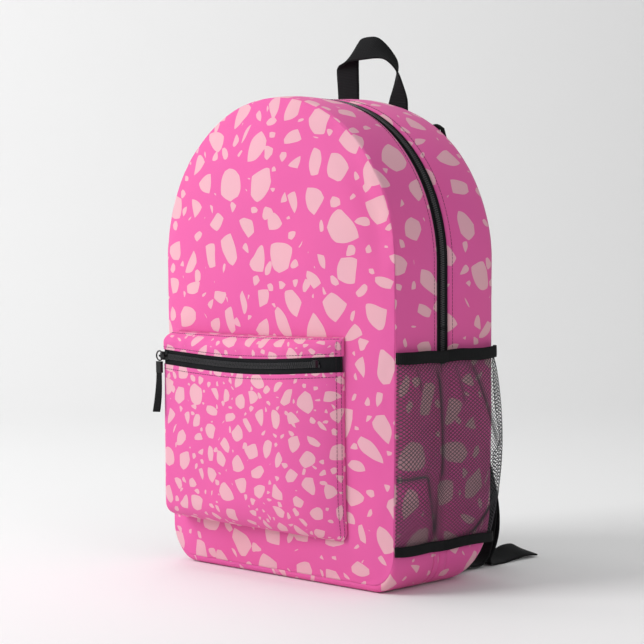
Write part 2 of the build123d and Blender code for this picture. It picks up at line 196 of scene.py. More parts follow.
def thicken(obj, thickness, inside=0, offset=-1.0):
    """Gives a sheet its cloth thickness; inside is the material slot for the hidden side."""
    mod = obj.modifiers.new("thick", "SOLIDIFY")
    mod.thickness = thickness * MM
    mod.offset = offset
    mod.material_offset = inside
    return settle(obj)


def sheet_object(name, points, cloth, material, thickness=FABRIC, closed=False, flip=False,
                 inside=0):
    rows, cols = points.shape[:2]
    obj = make_object(name, points.reshape(-1, 3), grid_faces(rows, cols, closed, flip),
                      material, cloth.reshape(-1, 2))
    return thicken(obj, thickness, inside)


def prisms(name, starts, ends, radius, material, sides=3, taper=1.0):
    """Many short rods in one mesh, for net strands, stitches and teeth."""
    a, b = np.asarray(starts, float), np.asarray(ends, float)
    along = unit(b - a)
    helper = np.where(np.abs(along[:, 2:3]) > 0.8, [[1.0, 0, 0]], [[0, 0, 1.0]])
    u = unit(np.cross(along, helper))
    v = np.cross(along, u)
    r = np.broadcast_to(np.asarray(radius, float), (len(a),))[:, None]
    verts, n = [], len(a)
    for base, scale in ((a, taper), (b, taper)):
        for k in range(sides):
            t = 2 * math.pi * k / sides
            verts.append(base + r * scale * (math.cos(t) * u + math.sin(t) * v))
    verts = np.stack(verts, axis=1).reshape(-1, 3)
    faces = []
    for i in range(n):
        o = i * 2 * sides
        for k in range(sides):
            m = (k + 1) % sides
            faces.append((o + k, o + m, o + sides + m, o + sides + k))
        faces.append(tuple(o + k for k in reversed(range(sides))))
        faces.append(tuple(o + sides + k for k in range(sides)))
    return make_object(name, verts, faces, material, shade_smooth=False)


def stitches(name, path, normals, material, pitch=3.4, length=2.5, radius=0.22, lift=0.18):
    """A row of thread stitches along a path on the cloth."""
    run = lengths(path)
    count = int(run[-1] / pitch)
    at = (np.arange(count) + 0.5) * run[-1] / count

    def place(s):
        return sample(s, run, path) + unit(sample(s, run, normals)) * lift
    return prisms(name, place(at - length / 2), place(at + length / 2), radius, material, sides=4)


def join(name, parts):
    """Joins freshly made objects into one piece."""
    for other in bpy.context.selected_objects:
        other.select_set(False)
    for p in parts:
        p.select_set(True)
    bpy.context.view_layer.objects.active = parts[0]
    bpy.ops.object.join()
    parts[0].name = name
    parts[0].data.name = name
    return parts[0]


FORWARDS, BACKWARDS = (0.0, -1.0, 0.0), (0.0, 1.0, 0.0)


def sewn_rows(name, lines, facing, material):
    """Rows of stitches along several lines on cloth that faces one way."""
    return join(name, [stitches("row", line, np.tile(facing, (len(line), 1)), material)
                       for line in lines])


# ---------------------------------------------------------------- materials
def new_material(name, color, roughness, **sockets):
    mat = bpy.data.materials.new(name)
    mat.use_nodes = True
    shader = mat.node_tree.nodes["Principled BSDF"]
    shader.inputs["Base Color"].default_value = (*color, 1)
    shader.inputs["Roughness"].default_value = roughness
    for key, value in sockets.items():
        shader.inputs[key.replace("_", " ")].default_value = value
    return mat, mat.node_tree, shader


def add(tree, kind, **settings):
    node = tree.nodes.new(kind)
    for key, value in settings.items():
        setattr(node, key, value)
    return node


def link(tree, a, b):
    tree.links.new(a, b)


def value_node(tree, operation, a, b=None, clamp=False):
    node = add(tree, "ShaderNodeMath", operation=operation, use_clamp=clamp)
    for i, x in enumerate((a, b)):
        if x is None:
            continue
        if isinstance(x, (int, float)):
            node.inputs[i].default_value = x
        else:
            link(tree, x, node.inputs[i])
    return node.outputs[0]


def cloth_vector(tree, scale=1.0, shift=(0, 0, 0)):
    """Place on the flat cloth, in metres times scale."""
    source = add(tree, "ShaderNodeAttribute", attribute_name="cloth")
    mapping = add(tree, "ShaderNodeMapping")
    mapping.inputs["Scale"].default_value = (scale, scale, scale)
    mapping.inputs["Location"].default_value = shift
    link(tree, source.outputs["Vector"], mapping.inputs["Vector"])
    return mapping.outputs["Vector"]


def noise_node(tree, scale, place=None):
    node = add(tree, "ShaderNodeTexNoise")
    node.inputs["Scale"].default_value = scale
    if place is not None:
        link(tree, place, node.inputs["Vector"])
    return node


def wave_node(tree, direction, pitch):
    """Ribs across the cloth, one in each pitch in metres. The texture has 20 to a turn."""
    node = add(tree, "ShaderNodeTexWave", wave_type="BANDS", bands_direction=direction)
    node.inputs["Scale"].default_value = 1 / pitch / 20 * 2 * math.pi
    link(tree, cloth_vector(tree), node.inputs["Vector"])
    return node


def weave_height(tree, pitch):
    """Over-and-under weave of the given thread spacing in metres."""
    warp, weft = (wave_node(tree, direction, pitch).outputs["Fac"] for direction in ("X", "Y"))
    return value_node(tree, "MULTIPLY", warp, weft)


def color_mix(tree, factor, a, b):
    node = add(tree, "ShaderNodeMix", data_type="RGBA")
    node.inputs["A"].default_value = (*a, 1)
    node.inputs["B"].default_value = (*b, 1)
    link(tree, factor, node.inputs["Factor"])
    return node.outputs["Result"]


def shades(color, dark, light):
    return [c * dark for c in color], [c * light for c in color]


def paint(tree, shader, color):
    link(tree, color, shader.inputs["Base Color"])


def bump(tree, shader, height, strength, distance):
    node = add(tree, "ShaderNodeBump")
    node.inputs["Strength"].default_value = strength
    node.inputs["Distance"].default_value = distance
    link(tree, height, node.inputs["Height"])
    link(tree, node.outputs["Normal"], shader.inputs["Normal"])


def vector_node(tree, operation, *inputs):
    node = add(tree, "ShaderNodeVectorMath", operation=operation)
    for i, x in enumerate(inputs):
        if isinstance(x, tuple):
            node.inputs[i].default_value = x
        else:
            link(tree, x, node.inputs[i])
    return node.outputs[0]


def pebble_layer(tree, cloth, cell, shift, low, high, wobble=0.45, roundness=0.9):
    """Rounded pebbles, one in each cell of a jittered grid: positive inside a pebble.

    Also gives the place on the cloth of the middle of the cell.
    """
    place = vector_node(tree, "MULTIPLY_ADD", cloth, (1 / cell,) * 3, shift)
    bend = noise_node(tree, 0.9, place)
    bend.inputs["Detail"].default_value = 1.0
    bent = vector_node(tree, "MULTIPLY_ADD", bend.outputs["Color"], (wobble, wobble, 0.0), place)
    edge = add(tree, "ShaderNodeTexVoronoi", feature="DISTANCE_TO_EDGE", voronoi_dimensions="2D")
    nearest = add(tree, "ShaderNodeTexVoronoi", feature="F1", voronoi_dimensions="2D")
    for node in (edge, nearest):
        node.inputs["Scale"].default_value = 1.0
        node.inputs["Randomness"].default_value = 0.92
        link(tree, bent, node.inputs["Vector"])
    split = add(tree, "ShaderNodeSeparateColor")
    link(tree, nearest.outputs["Color"], split.inputs["Color"])
    squared = value_node(tree, "POWER", nearest.outputs["Distance"], 2.0)
    rounded = value_node(tree, "SUBTRACT", edge.outputs["Distance"],
                         value_node(tree, "MULTIPLY", squared, roundness))
    size = add(tree, "ShaderNodeMapRange")
    size.inputs["To Min"].default_value = low
    size.inputs["To Max"].default_value = high
    link(tree, split.outputs[0], size.inputs["Value"])
    back = tuple(-x - wobble / 2 for x in shift[:2]) + (0.0,)
    middle = vector_node(tree, "MULTIPLY", vector_node(
        tree, "ADD", nearest.outputs["Position"], back), (cell, cell, 0.0))
    return value_node(tree, "SUBTRACT", rounded, size.outputs["Result"]), middle


def printed_fabric(name, big, small, shift, apart):
    """Pink polyester printed with large pale pebbles, and small ones in the room between them."""
    mat, tree, shader = new_material(name, PINK, 0.72, Sheen_Weight=0.08, Sheen_Roughness=0.5,
                                     Specular_IOR_Level=0.25)
    cloth = cloth_vector(tree)
    other = (shift[0] + 3.3, shift[1] + 1.7, 0.0)
    large_range = [x + apart for x in LARGE_PEBBLES]
    small_range = [x + apart for x in SMALL_PEBBLES]
    large, _ = pebble_layer(tree, cloth, big, shift, *large_range)
    little, middle = pebble_layer(tree, cloth, small, other, *small_range)
    near, _ = pebble_layer(tree, middle, big, shift, *large_range)
    room = value_node(tree, "SUBTRACT", value_node(tree, "MULTIPLY", near, -1.0), PEBBLE_ROOM)
    little = value_node(tree, "MINIMUM", little, value_node(tree, "MULTIPLY", room, 50.0))
    both = value_node(tree, "MAXIMUM", large, little)
    mask = value_node(tree, "MULTIPLY_ADD", both, 120.0)
    mask.node.inputs[2].default_value = 0.5
    mask.node.use_clamp = True
    fade = noise_node(tree, 9.0, cloth_vector(tree))
    tone = add(tree, "ShaderNodeMix", data_type="RGBA", blend_type="MULTIPLY")
    tone.inputs["Factor"].default_value = 0.10
    link(tree, color_mix(tree, mask, PINK, PEBBLE), tone.inputs["A"])
    link(tree, fade.outputs["Color"], tone.inputs["B"])
    paint(tree, shader, tone.outputs["Result"])
    bump(tree, shader, weave_height(tree, 0.0007), 0.25, 0.00012)
    return mat


def woven(name, color, roughness, pitch, strength=0.5, depth=0.0003):
    """Plain black cloth, with its weave and faint changes of shade."""
    mat, tree, shader = new_material(name, color, roughness, Specular_IOR_Level=0.15)
    bump(tree, shader, weave_height(tree, pitch), strength, depth)
    vary = noise_node(tree, 60.0, cloth_vector(tree))
    paint(tree, shader, color_mix(tree, vary.outputs["Fac"], *shades(color, 0.8, 1.3)))
    return mat


def ribbed(name, color, roughness, rib):
    """Webbing or elastic with cross ribs, painted darker in their grooves and lighter on their tops
    as painted shade and highlight.
    """
    mat, tree, shader = new_material(name, color, roughness, Specular_IOR_Level=0.12)
    wave = wave_node(tree, "X", rib)
    wave.inputs["Distortion"].default_value = 0.4
    weft = weave_height(tree, rib * 0.7)
    height = value_node(tree, "ADD", wave.outputs["Fac"], value_node(tree, "MULTIPLY", weft, 0.5))
    bump(tree, shader, height, 0.6, 0.0004)
    # painted shade in the rib grooves and painted highlight on the rib tops, taken from the same wave
    # as the relief
    paint(tree, shader, color_mix(tree, wave.outputs["Fac"], *shades(color, 0.6, 1.5)))
    return mat


def spacer_mesh(name):
    """Air mesh: rows of small round holes, with painted shade inside them."""
    mat, tree, shader = new_material(name, BLACK, 0.8, Specular_IOR_Level=0.25)
    holes = add(tree, "ShaderNodeTexVoronoi", feature="F1", voronoi_dimensions="2D")
    holes.inputs["Scale"].default_value = 1.0
    holes.inputs["Randomness"].default_value = 0.0
    link(tree, cloth_vector(tree, 1 / HOLE_PITCH), holes.inputs["Vector"])
    hole = value_node(tree, "LESS_THAN", holes.outputs["Distance"], 0.3)
    # the holes get a darker colour: painted shade in place of their depth
    paint(tree, shader, color_mix(tree, hole, AIR_MESH, AIR_MESH_HOLE_SHADE))
    bump(tree, shader, holes.outputs["Distance"], 0.8, 0.0008)
    return mat


def hard(name, color, roughness, metallic=0.0):
    """Moulded or enamelled parts, with faint surface grain."""
    mat, tree, shader = new_material(name, color, roughness, Metallic=metallic)
    grain = noise_node(tree, 900.0, add(tree, "ShaderNodeTexCoord").outputs["Object"])
    bump(tree, shader, grain.outputs["Fac"], 0.15, 0.0001)
    spread = add(tree, "ShaderNodeMapRange")
    spread.inputs["To Min"].default_value = roughness * 0.8
    spread.inputs["To Max"].default_value = min(1.0, roughness * 1.2)
    link(tree, grain.outputs["Fac"], spread.inputs["Value"])
    link(tree, spread.outputs["Result"], shader.inputs["Roughness"])
    return mat


PINK = (0.80, 0.115, 0.385)
PEBBLE = (0.82, 0.43, 0.51)
BLACK = (0.009, 0.0092, 0.0098)
AIR_MESH = (0.03, 0.03, 0.033)
# painted shade inside the air mesh's holes
AIR_MESH_HOLE_SHADE = (0.006, 0.006, 0.007)
HOLE_PITCH = 0.003              # between the holes of the air mesh, in metres
LARGE_PEBBLES = (0.015, 0.23)    # how far pebbles are drawn in from their cells, in cells
SMALL_PEBBLES = (0.10, 0.46)
PEBBLE_ROOM = 0.17               # how far small pebbles stay from large ones, in cells
m_print = printed_fabric("printed_fabric", 0.037, 0.017, (0.3, 0.8, 0), 0.022)
m_side = printed_fabric("printed_fabric_side", 0.040, 0.018, (7.3, 4.1, 0), 0.080)
m_small = printed_fabric("printed_fabric_small", 0.0215, 0.0105, (2.1, 5.2, 0), 0.030)
m_black = woven("black_cloth", BLACK, 0.8, 0.0009)
m_lining = woven("lining_cloth", (0.02, 0.02, 0.021), 0.75, 0.0006, 0.3)
m_tape = woven("zip_tape_cloth", (0.006, 0.0065, 0.008), 0.75, 0.0008)
m_web = ribbed("webbing_cloth", (0.007, 0.0073, 0.008), 0.72, 0.0016)
m_elastic = ribbed("binding_cloth", (0.008, 0.0085, 0.009), 0.7, 0.0011)
m_air = spacer_mesh("air_mesh_cloth")
m_net = hard("net_thread", (0.045, 0.052, 0.055), 0.7)
m_thread = hard("black_thread", (0.016, 0.005, 0.009), 0.7)
m_grey_thread = hard("grey_thread", (0.035, 0.036, 0.038), 0.65)
m_coil = hard("zip_coil_nylon", (0.05, 0.05, 0.053), 0.30)
m_metal = hard("black_enamel", (0.02, 0.02, 0.021), 0.3, 0.6)
m_plastic = hard("black_plastic_part", (0.018, 0.018, 0.019), 0.42)


# ---------------------------------------------------------------- camera, light and stage
CAMERA_TURNS = (45.1, 3.0, -0.62)       # azimuth, elevation and roll, in degrees
CAMERA_AWAY = 1.819
CAMERA_AIM = (0, 0, 0.230)
CAMERA_SHIFT = (-0.0045, 0.0213)
LENS, SENSOR = 103.2, 36.0
WORLD_LIGHT = 0.37
LAMPS = (                               # name, place, aim, size in metres, watts
    ("key", (-1.3, -2.0, 1.6), (0, 0, 0.25), 1.4, 52),
    ("top", (-0.5, 0.1, 2.6), (0, 0, 0.2), 1.6, 15),
    ("wash", (-2.3, -0.7, 1.7), (-2.3, 1.0, 0.6), 1.2, 9),
    ("fill", (2.4, -0.5, 1.1), (0.1, 0, 0.25), 1.0, 8),
)
FLOOR_START, FLOOR_END = -4.0, 1.6      # along the view, in metres
PAPER_BEND, WALL_HIGH = 0.8, 3.2
PAPER_HALF = 5
STAGE_DROP = -0.0004                    # keeps the bag's underside out of the floor


def make_camera():
    azimuth, elevation, roll = map(math.radians, CAMERA_TURNS)
    back = Vector((math.sin(azimuth) * math.cos(elevation),
                   -math.cos(azimuth) * math.cos(elevation), math.sin(elevation)))
    right = Vector((math.cos(azimuth), math.sin(azimuth), 0))
    up = back.cross(right)
    turned_right = math.cos(roll) * right + math.sin(roll) * up
    turned_up = -math.sin(roll) * right + math.cos(roll) * up
    data = bpy.data.cameras.new("camera")
    data.lens, data.sensor_width = LENS, SENSOR
    data.shift_x, data.shift_y = CAMERA_SHIFT
    camera = bpy.data.objects.new("camera", data)
    rotation = Matrix((turned_right, turned_up, back)).transposed().to_4x4()
    camera.matrix_world = Matrix.Translation(Vector(CAMERA_AIM) + back * CAMERA_AWAY) @ rotation
    bpy.context.scene.collection.objects.link(camera)
    bpy.context.scene.camera = camera


def area_light(name, place, aim, size, power):
    data = bpy.data.lights.new(name, "AREA")
    data.size = size
    data.energy = power
    lamp = bpy.data.objects.new(name, data)
    lamp.location = place
    lamp.visible_camera = False
    lamp.rotation_euler = (Vector(aim) - Vector(place)).to_track_quat("-Z", "Y").to_euler()
    bpy.context.scene.collection.objects.link(lamp)


def make_stage():
    world = bpy.data.worlds.new("studio")
    world.use_nodes = True
    world.node_tree.nodes["Background"].inputs["Color"].default_value = (1, 1, 1, 1)
    world.node_tree.nodes["Background"].inputs["Strength"].default_value = WORLD_LIGHT
    bpy.context.scene.world = world
    bpy.context.scene.view_settings.view_transform = "Standard"
    for lamp in LAMPS:
        area_light(*lamp)
    mat, tree, shader = new_material("stage_paper", (0.87, 0.87, 0.87), 0.9)
    bump(tree, shader, noise_node(tree, 40.0).outputs["Fac"], 0.02, 0.0002)
    sweep = []
    for t in np.linspace(0, 1, 40):
        if t < 0.4:
            sweep.append((FLOOR_START + t / 0.4 * (FLOOR_END - FLOOR_START), 0.0))
        elif t < 0.6:
            a = (t - 0.4) / 0.2 * math.pi / 2
            sweep.append((FLOOR_END + PAPER_BEND * math.sin(a),
                          PAPER_BEND - PAPER_BEND * math.cos(a)))
        else:
            sweep.append((FLOOR_END + PAPER_BEND, PAPER_BEND + (t - 0.6) / 0.4 * WALL_HIGH))
    away = np.array([-math.sin(math.radians(45)), math.cos(math.radians(45))])
    across = np.array([away[1], -away[0]])
    rows = []
    for d, z in sweep:
        rows.append([[*(away * d + across * w), z] for w in np.linspace(-PAPER_HALF, PAPER_HALF, 12)])
    pts = np.array(rows) / MM
    stage = make_object("backdrop", pts.reshape(-1, 3), grid_faces(*pts.shape[:2]), mat)
    stage.location.z = STAGE_DROP


make_camera()
make_stage()


# ---------------------------------------------------------------- the bag's shape
def foot_height(y):
    """How far the underside is off the floor at a depth, from the rounded toe and heel."""
    toe = np.clip(FRONT + TOE - y, 0, TOE)
    heel = np.clip(y - (BACK - HEEL), 0, HEEL)
    return (TOE - np.sqrt(TOE ** 2 - toe ** 2)) + (HEEL - np.sqrt(HEEL ** 2 - heel ** 2))


def narrowing(z):
    """How much each side is drawn in at a height."""
    return TAPER * np.clip((SPRING - z) / SPRING, 0, 1) ** TAPER_CURVE


BOTTOM_STEPS, CORNER_STEPS, SIDE_STEPS, ARCH_STEPS = 22, 9, 54, 50


def outline(y):
    """The bag's outline at a depth: a closed loop from the middle of the underside, rightwards."""
    z0 = float(foot_height(np.array(y)))
    pts = [(x, z0) for x in np.linspace(0, HALF - CORNER, BOTTOM_STEPS, endpoint=False)]
    for a in np.linspace(-math.pi / 2, 0, CORNER_STEPS, endpoint=False):
        pts.append((HALF - CORNER + CORNER * math.cos(a), z0 + CORNER + CORNER * math.sin(a)))
    pts += [(HALF, z) for z in np.linspace(z0 + CORNER, SPRING, SIDE_STEPS, endpoint=False)]
    for a in np.linspace(0, math.pi / 2, ARCH_STEPS, endpoint=False):
        pts.append((HALF * math.cos(a), SPRING + HALF * math.sin(a)))
    right = np.array(pts)
    left = right[1:][::-1] * [-1, 1]
    loop = np.vstack([right, [[0, TOP]], left])
    loop[:, 0] *= 1 - narrowing(loop[:, 1]) / HALF
    return loop


def loop_normals(loop):
    tangent = unit(np.roll(loop, -1, axis=0) - np.roll(loop, 1, axis=0))
    return np.stack([tangent[:, 1], -tangent[:, 0]], axis=1)


LOOP_RUN = lengths(closed_loop(outline(0.0)))[:-1]
BOTTOM_GAP = np.linalg.norm(outline(0.0)[0] - outline(0.0)[-1])


def wall_bulge(y):
    """How far the gusset stands out between its seams and the zip."""
    front_t = (y - FRONT) / (ZIP_Y - FRONT)
    rear_t = (y - ZIP_Y) / (BACK - ZIP_Y)
    front_part = 2.6 * np.sin(math.pi * np.clip(front_t, 0, 1)) ** 0.8
    rear_part = 3.2 * np.sin(math.pi * np.clip(rear_t, 0, 1)) ** 0.8
    return front_part + rear_part


def wall_points(y, out=0.0):
    """The loop of the side wall at one depth, with its bulge and faint creases."""
    loop = outline(y)
    normal = loop_normals(loop)
    place = np.stack([loop[:, 0], np.full(len(loop), y), loop[:, 1]], axis=1)
    low = np.clip(loop[:, 1] / 60.0, 0, 1)
    slack = 1.3 * (1 - math.exp(-((y - ZIP_Y) / 16.0) ** 2))
    amount = wall_bulge(np.array(y)) * low + out + slack * ripple(place, 62.0, 3.1) * low
    from_seam = min(abs(y - FRONT), abs(y - BACK))
    pucker = 0.45 * math.exp(-((from_seam - 4.0) / 4.0) ** 2)
    amount = amount + pucker * ripple(place, 11.0, 5.1) * low
    return place + amount[:, None] * np.stack([normal[:, 0], normal[:, 0] * 0, normal[:, 1]], axis=1)


def wall_strip(name, y0, y1, rows, material, out=0.0, thickness=FABRIC, roll_at=None):
    """A band of the side wall between two depths, as a closed ring of cloth."""
    depths = np.linspace(y0, y1, rows)
    pts, cloth = [], []
    for y in depths:
        turned = 0.0
        if roll_at is not None:
            turned = -0.9 * (1 - min(1.0, abs(y - roll_at) / 3.0)) ** 2
        pts.append(wall_points(y, out + turned))
        under = 1 - smooth(pts[-1][:, 2] / 110.0)
        cloth.append(np.stack([LOOP_RUN, y + foot_height(y) * under], axis=1))
    return sheet_object(name, np.array(pts), np.array(cloth), material, thickness, closed=True,
                        flip=True, inside=1)


def inside_distance(x, z):
    """Distance in from the front panel's edge."""
    z0 = float(foot_height(np.array(FRONT)))
    side = (HALF - narrowing(z)) - np.abs(x)
    arch = HALF - np.sqrt(x ** 2 + np.clip(z - SPRING, 0, None) ** 2)
    side = np.where(z > SPRING, arch, side)
    return smooth_min(side, z - z0, 50.0)


def front_depth(x, z):
    """Y of the stuffed front panel."""
    d = np.clip(inside_distance(x, z), 0, DOME_REACH) / DOME_REACH
    return FRONT - DOME * (1 - (1 - d) ** 2.6)


def hub_sheet(name, rings, middle, material, flip=False):
    """Cloth in rings round a point in its middle, with the lining on its hidden side."""
    rows, cols = rings.shape[:2]
    verts = np.vstack([rings.reshape(-1, 3), middle])
    hub = len(verts) - 1
    faces = grid_faces(rows, cols, closed=True, flip=flip)
    for c in range(cols):
        d = (c + 1) % cols
        faces.append([hub, c, d] if flip else [hub, d, c])
    obj = make_object(name, verts, faces, [material, m_lining], verts[:, [0, 2]])
    return thicken(obj, FABRIC, 1)


FRONT_MIDDLE_Z, BACK_MIDDLE_Z = 215.0, 235.0
SLACK, SLACK_SIZE, SLACK_SEED = 1.6, 52.0, 8.4      # the front's slow waves
SEAM_RUN = 150.0                # about the distance from the middle of the front to its edge


def front_panel():
    """The front, one dome of cloth from seam to seam, across the flap's hinge."""
    edge = outline(FRONT)
    centre = np.array([0.0, FRONT_MIDDLE_Z])
    rings = 1 - (1 - np.linspace(0, 1, 64)) ** 1.25
    pts = []
    for t in rings[1:]:
        xz = centre + (edge - centre) * t
        y = front_depth(xz[:, 0], xz[:, 1])
        y = np.where(t >= 1.0, FRONT, y)
        place = np.stack([xz[:, 0], y, xz[:, 1]], axis=1)
        place[:, 1] += SLACK * ripple(place, SLACK_SIZE, SLACK_SEED) * np.clip((1 - t) * 12, 0, 1)
        near_seam = math.exp(-((1 - t) * SEAM_RUN - 5.0) ** 2 / 40.0)
        place[:, 1] += 0.9 * near_seam * ripple(place, 13.0, 3.3)
        shoulder = np.exp(-((xz[:, 0] - 118.0) / 44.0) ** 2 - ((xz[:, 1] - 372.0) / 70.0) ** 2)
        place[:, 1] += 3.2 * shoulder * math.exp(-((1 - t) * SEAM_RUN - 13.0) ** 2 / 70.0)
        pts.append(place)
    middle = np.array([[0, front_depth(np.array(0.0), np.array(FRONT_MIDDLE_Z)), FRONT_MIDDLE_Z]])
    middle[:, 1] += SLACK * ripple(middle, SLACK_SIZE, SLACK_SEED)
    return hub_sheet("front_panel", np.array(pts), middle, m_print, flip=True)


def cut_sheet(obj, held, width, length, share=None):
    """Returns a cloth piece as it is; the size it is cut to, in millimetres, and its share of that
    are not used.
    """
    return obj


def cut_shape(loop):
    """Width, height and share of its own rectangle of a piece cut to a closed outline."""
    width, height = np.ptp(loop, axis=0)
    x, z = loop[:, 0], loop[:, 1]
    area = abs(np.dot(x, np.roll(z, -1)) - np.dot(z, np.roll(x, -1))) / 2
    return width, height, area / (width * height)


def bends_with_flap(obj, slot, *nodes):
    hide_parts(*nodes)
    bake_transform(obj)
    return obj


def rides(obj, body, slot, *nodes):
    if nodes:
        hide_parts(*nodes)
    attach(obj, body)
    return obj


front = bends_with_flap(front_panel(), "printed_fabric", "lower_front_panel", "upper_front_panel",
                        "flap_lining")
cut_sheet(front, "stretched", *cut_shape(outline(FRONT)))
front_band = wall_strip("front_gusset_cloth", FRONT, ZIP_Y - TAPE_HALF + 0.5, 18,
                        [m_side, m_lining], roll_at=ZIP_Y - TAPE_HALF)
bends_with_flap(front_band, "printed_fabric", "front_gusset")
cut_sheet(front_band, "stretched", LOOP_RUN[-1] + BOTTOM_GAP, ZIP_Y - TAPE_HALF - FRONT)
rear_band = wall_strip("rear_gusset_cloth", ZIP_Y + TAPE_HALF - 0.5, BACK, 20,
                       [m_side, m_lining], roll_at=ZIP_Y + TAPE_HALF)
rides(rear_band, "bag_body", "printed_fabric", "rear_gusset", "left_side_panel",
      "right_side_panel", "base_panel", "main_lining")
cut_sheet(rear_band, "stretched", LOOP_RUN[-1] + BOTTOM_GAP, BACK - ZIP_Y - TAPE_HALF)


# ---------------------------------------------------------------- main zip
TAPE_OUT = -1.3                 # the tapes lie below the printed cloth
TOOTH_LONG, TOOTH_RADIUS = 2.5, 0.68
STITCH_FROM_ZIP = 4.5


def zip_band(name, y0, y1, out, material, keep):
    """Part of the zip's ring, in one or two runs, where keep says which heights it covers."""
    depths = np.linspace(y0, y1, 4)
    pts = np.array([wall_points(y, out) for y in depths])
    cols = np.where(keep(pts[0][:, 2]))[0]
    gaps = np.where(np.diff(cols) > 1)[0]
    made = []
    for k, part in enumerate(np.split(cols, gaps[:1] + 1)):
        cloth = np.stack(np.meshgrid(LOOP_RUN[part], depths), axis=-1)
        made.append(sheet_object(name + str(k), pts[:, part], cloth, material, 0.6, flip=True))
    return made[0] if len(made) == 1 else join(name, made)


def zip_teeth(name, side, keep):
    """One row of coil teeth round the zip."""
    tips = closed_loop(wall_points(ZIP_Y, 0.1))
    roots = closed_loop(wall_points(ZIP_Y + side * TOOTH_LONG, 0.1))
    run = lengths(tips)
    count = int(run[-1] / COIL_PITCH)
    at = (np.arange(count) + (0.25 if side > 0 else 0.75)) * run[-1] / count
    a, b = sample(at, run, tips), sample(at, run, roots)
    use = keep(a[:, 2])
    return prisms(name, a[use], b[use], TOOTH_RADIUS, m_coil, sides=6)


def over(z):
    return z > HINGE_Z


def side_seam_cloth():
    """Below the zip the two gussets meet in a plain seam, down one side, under and up the other."""
    depths = np.linspace(ZIP_Y - TAPE_HALF - 0.3, ZIP_Y + TAPE_HALF + 0.3, 17)
    low = np.where(wall_points(ZIP_Y)[:, 2] < BAND_LOW + 2)[0]
    split = np.where(np.diff(low) > 1)[0][0] + 1
    order = np.concatenate([low[split:], low[:split]])
    run = LOOP_RUN[order] - np.where(order >= low[split], LOOP_RUN[-1] + BOTTOM_GAP, 0)
    pts = []
    for y in depths:
        dip = -1.3 * (1 - min(1.0, abs(y - ZIP_Y) / 2.2)) ** 2
        pts.append(wall_points(y, dip)[order])
    cloth = np.stack(np.meshgrid(run, depths), axis=-1)
    obj = sheet_object("side_seam_cloth", np.array(pts), cloth, [m_side, m_lining], flip=True,
                       inside=1)
    rides(obj, "bag_body", "printed_fabric")
    return cut_sheet(obj, "stretched", np.ptp(run), np.ptp(depths))


def under(z):
    return (z <= HINGE_Z + 3) & (z > BAND_LOW - 2)


front_tape = zip_band("front_zip_tape_cloth", ZIP_Y - TAPE_HALF - 2, ZIP_Y - 0.25, TAPE_OUT,
                      m_tape, over)
bends_with_flap(front_tape, "zip_tape", "front_zip_tape")
rear_tape = zip_band("rear_zip_tape_cloth", ZIP_Y + 0.25, ZIP_Y + TAPE_HALF + 2, TAPE_OUT,
                     m_tape, over)
rides(rear_tape, "bag_body", "zip_tape", "rear_zip_tape")
end_tape = zip_band("zip_end_cloth", ZIP_Y - TAPE_HALF - 2, ZIP_Y + TAPE_HALF + 2, TAPE_OUT, m_tape,
                    lambda z: (z <= HINGE_Z + 3) & (z > BAND_LOW - 12))
rides(end_tape, "bag_body", "zip_tape", "zip_end_tapes")
side_seam_cloth()
bends_with_flap(zip_teeth("front_zip_coil", -1, over), "zip_coil", "front_zip_teeth")
rides(zip_teeth("rear_zip_coil", 1, over), "bag_body", "zip_coil", "rear_zip_teeth")
rides(zip_teeth("zip_end_coil_front", -1, under), "bag_body", "zip_coil")
rides(zip_teeth("zip_end_coil_rear", 1, under), "bag_body", "zip_coil")


def wall_stitches(name, y, body):
    """Topstitching beside the zip."""
    ring = wall_points(y, 0.0)
    normal = np.insert(loop_normals(outline(y)), 1, 0.0, axis=1)
    high = ring[:, 2] > NET_TOP - 10
    obj = stitches(name, ring[high], normal[high], m_thread)
    if body == "flap":
        return bends_with_flap(obj, "printed_fabric")
    return rides(obj, "bag_body", "printed_fabric")


wall_stitches("stitches_zip_front", ZIP_Y - TAPE_HALF - STITCH_FROM_ZIP, "flap")
wall_stitches("stitches_zip_rear", ZIP_Y + TAPE_HALF + STITCH_FROM_ZIP, "bag")


# ---------------------------------------------------------------- front pocket
POCKET_X0 = POCKET_LOW[0]
POCKET_X1 = POCKET_HIGH[0] - 7.0                # the seam is drawn in as the pocket fills
POCKET_ROUND = 9.0                              # its lower right corner
POCKET_Z0, POCKET_Z1 = POCKET_LOW[2], POCKET_HIGH[2] + 3.0
POCKET_SAG = 5.0


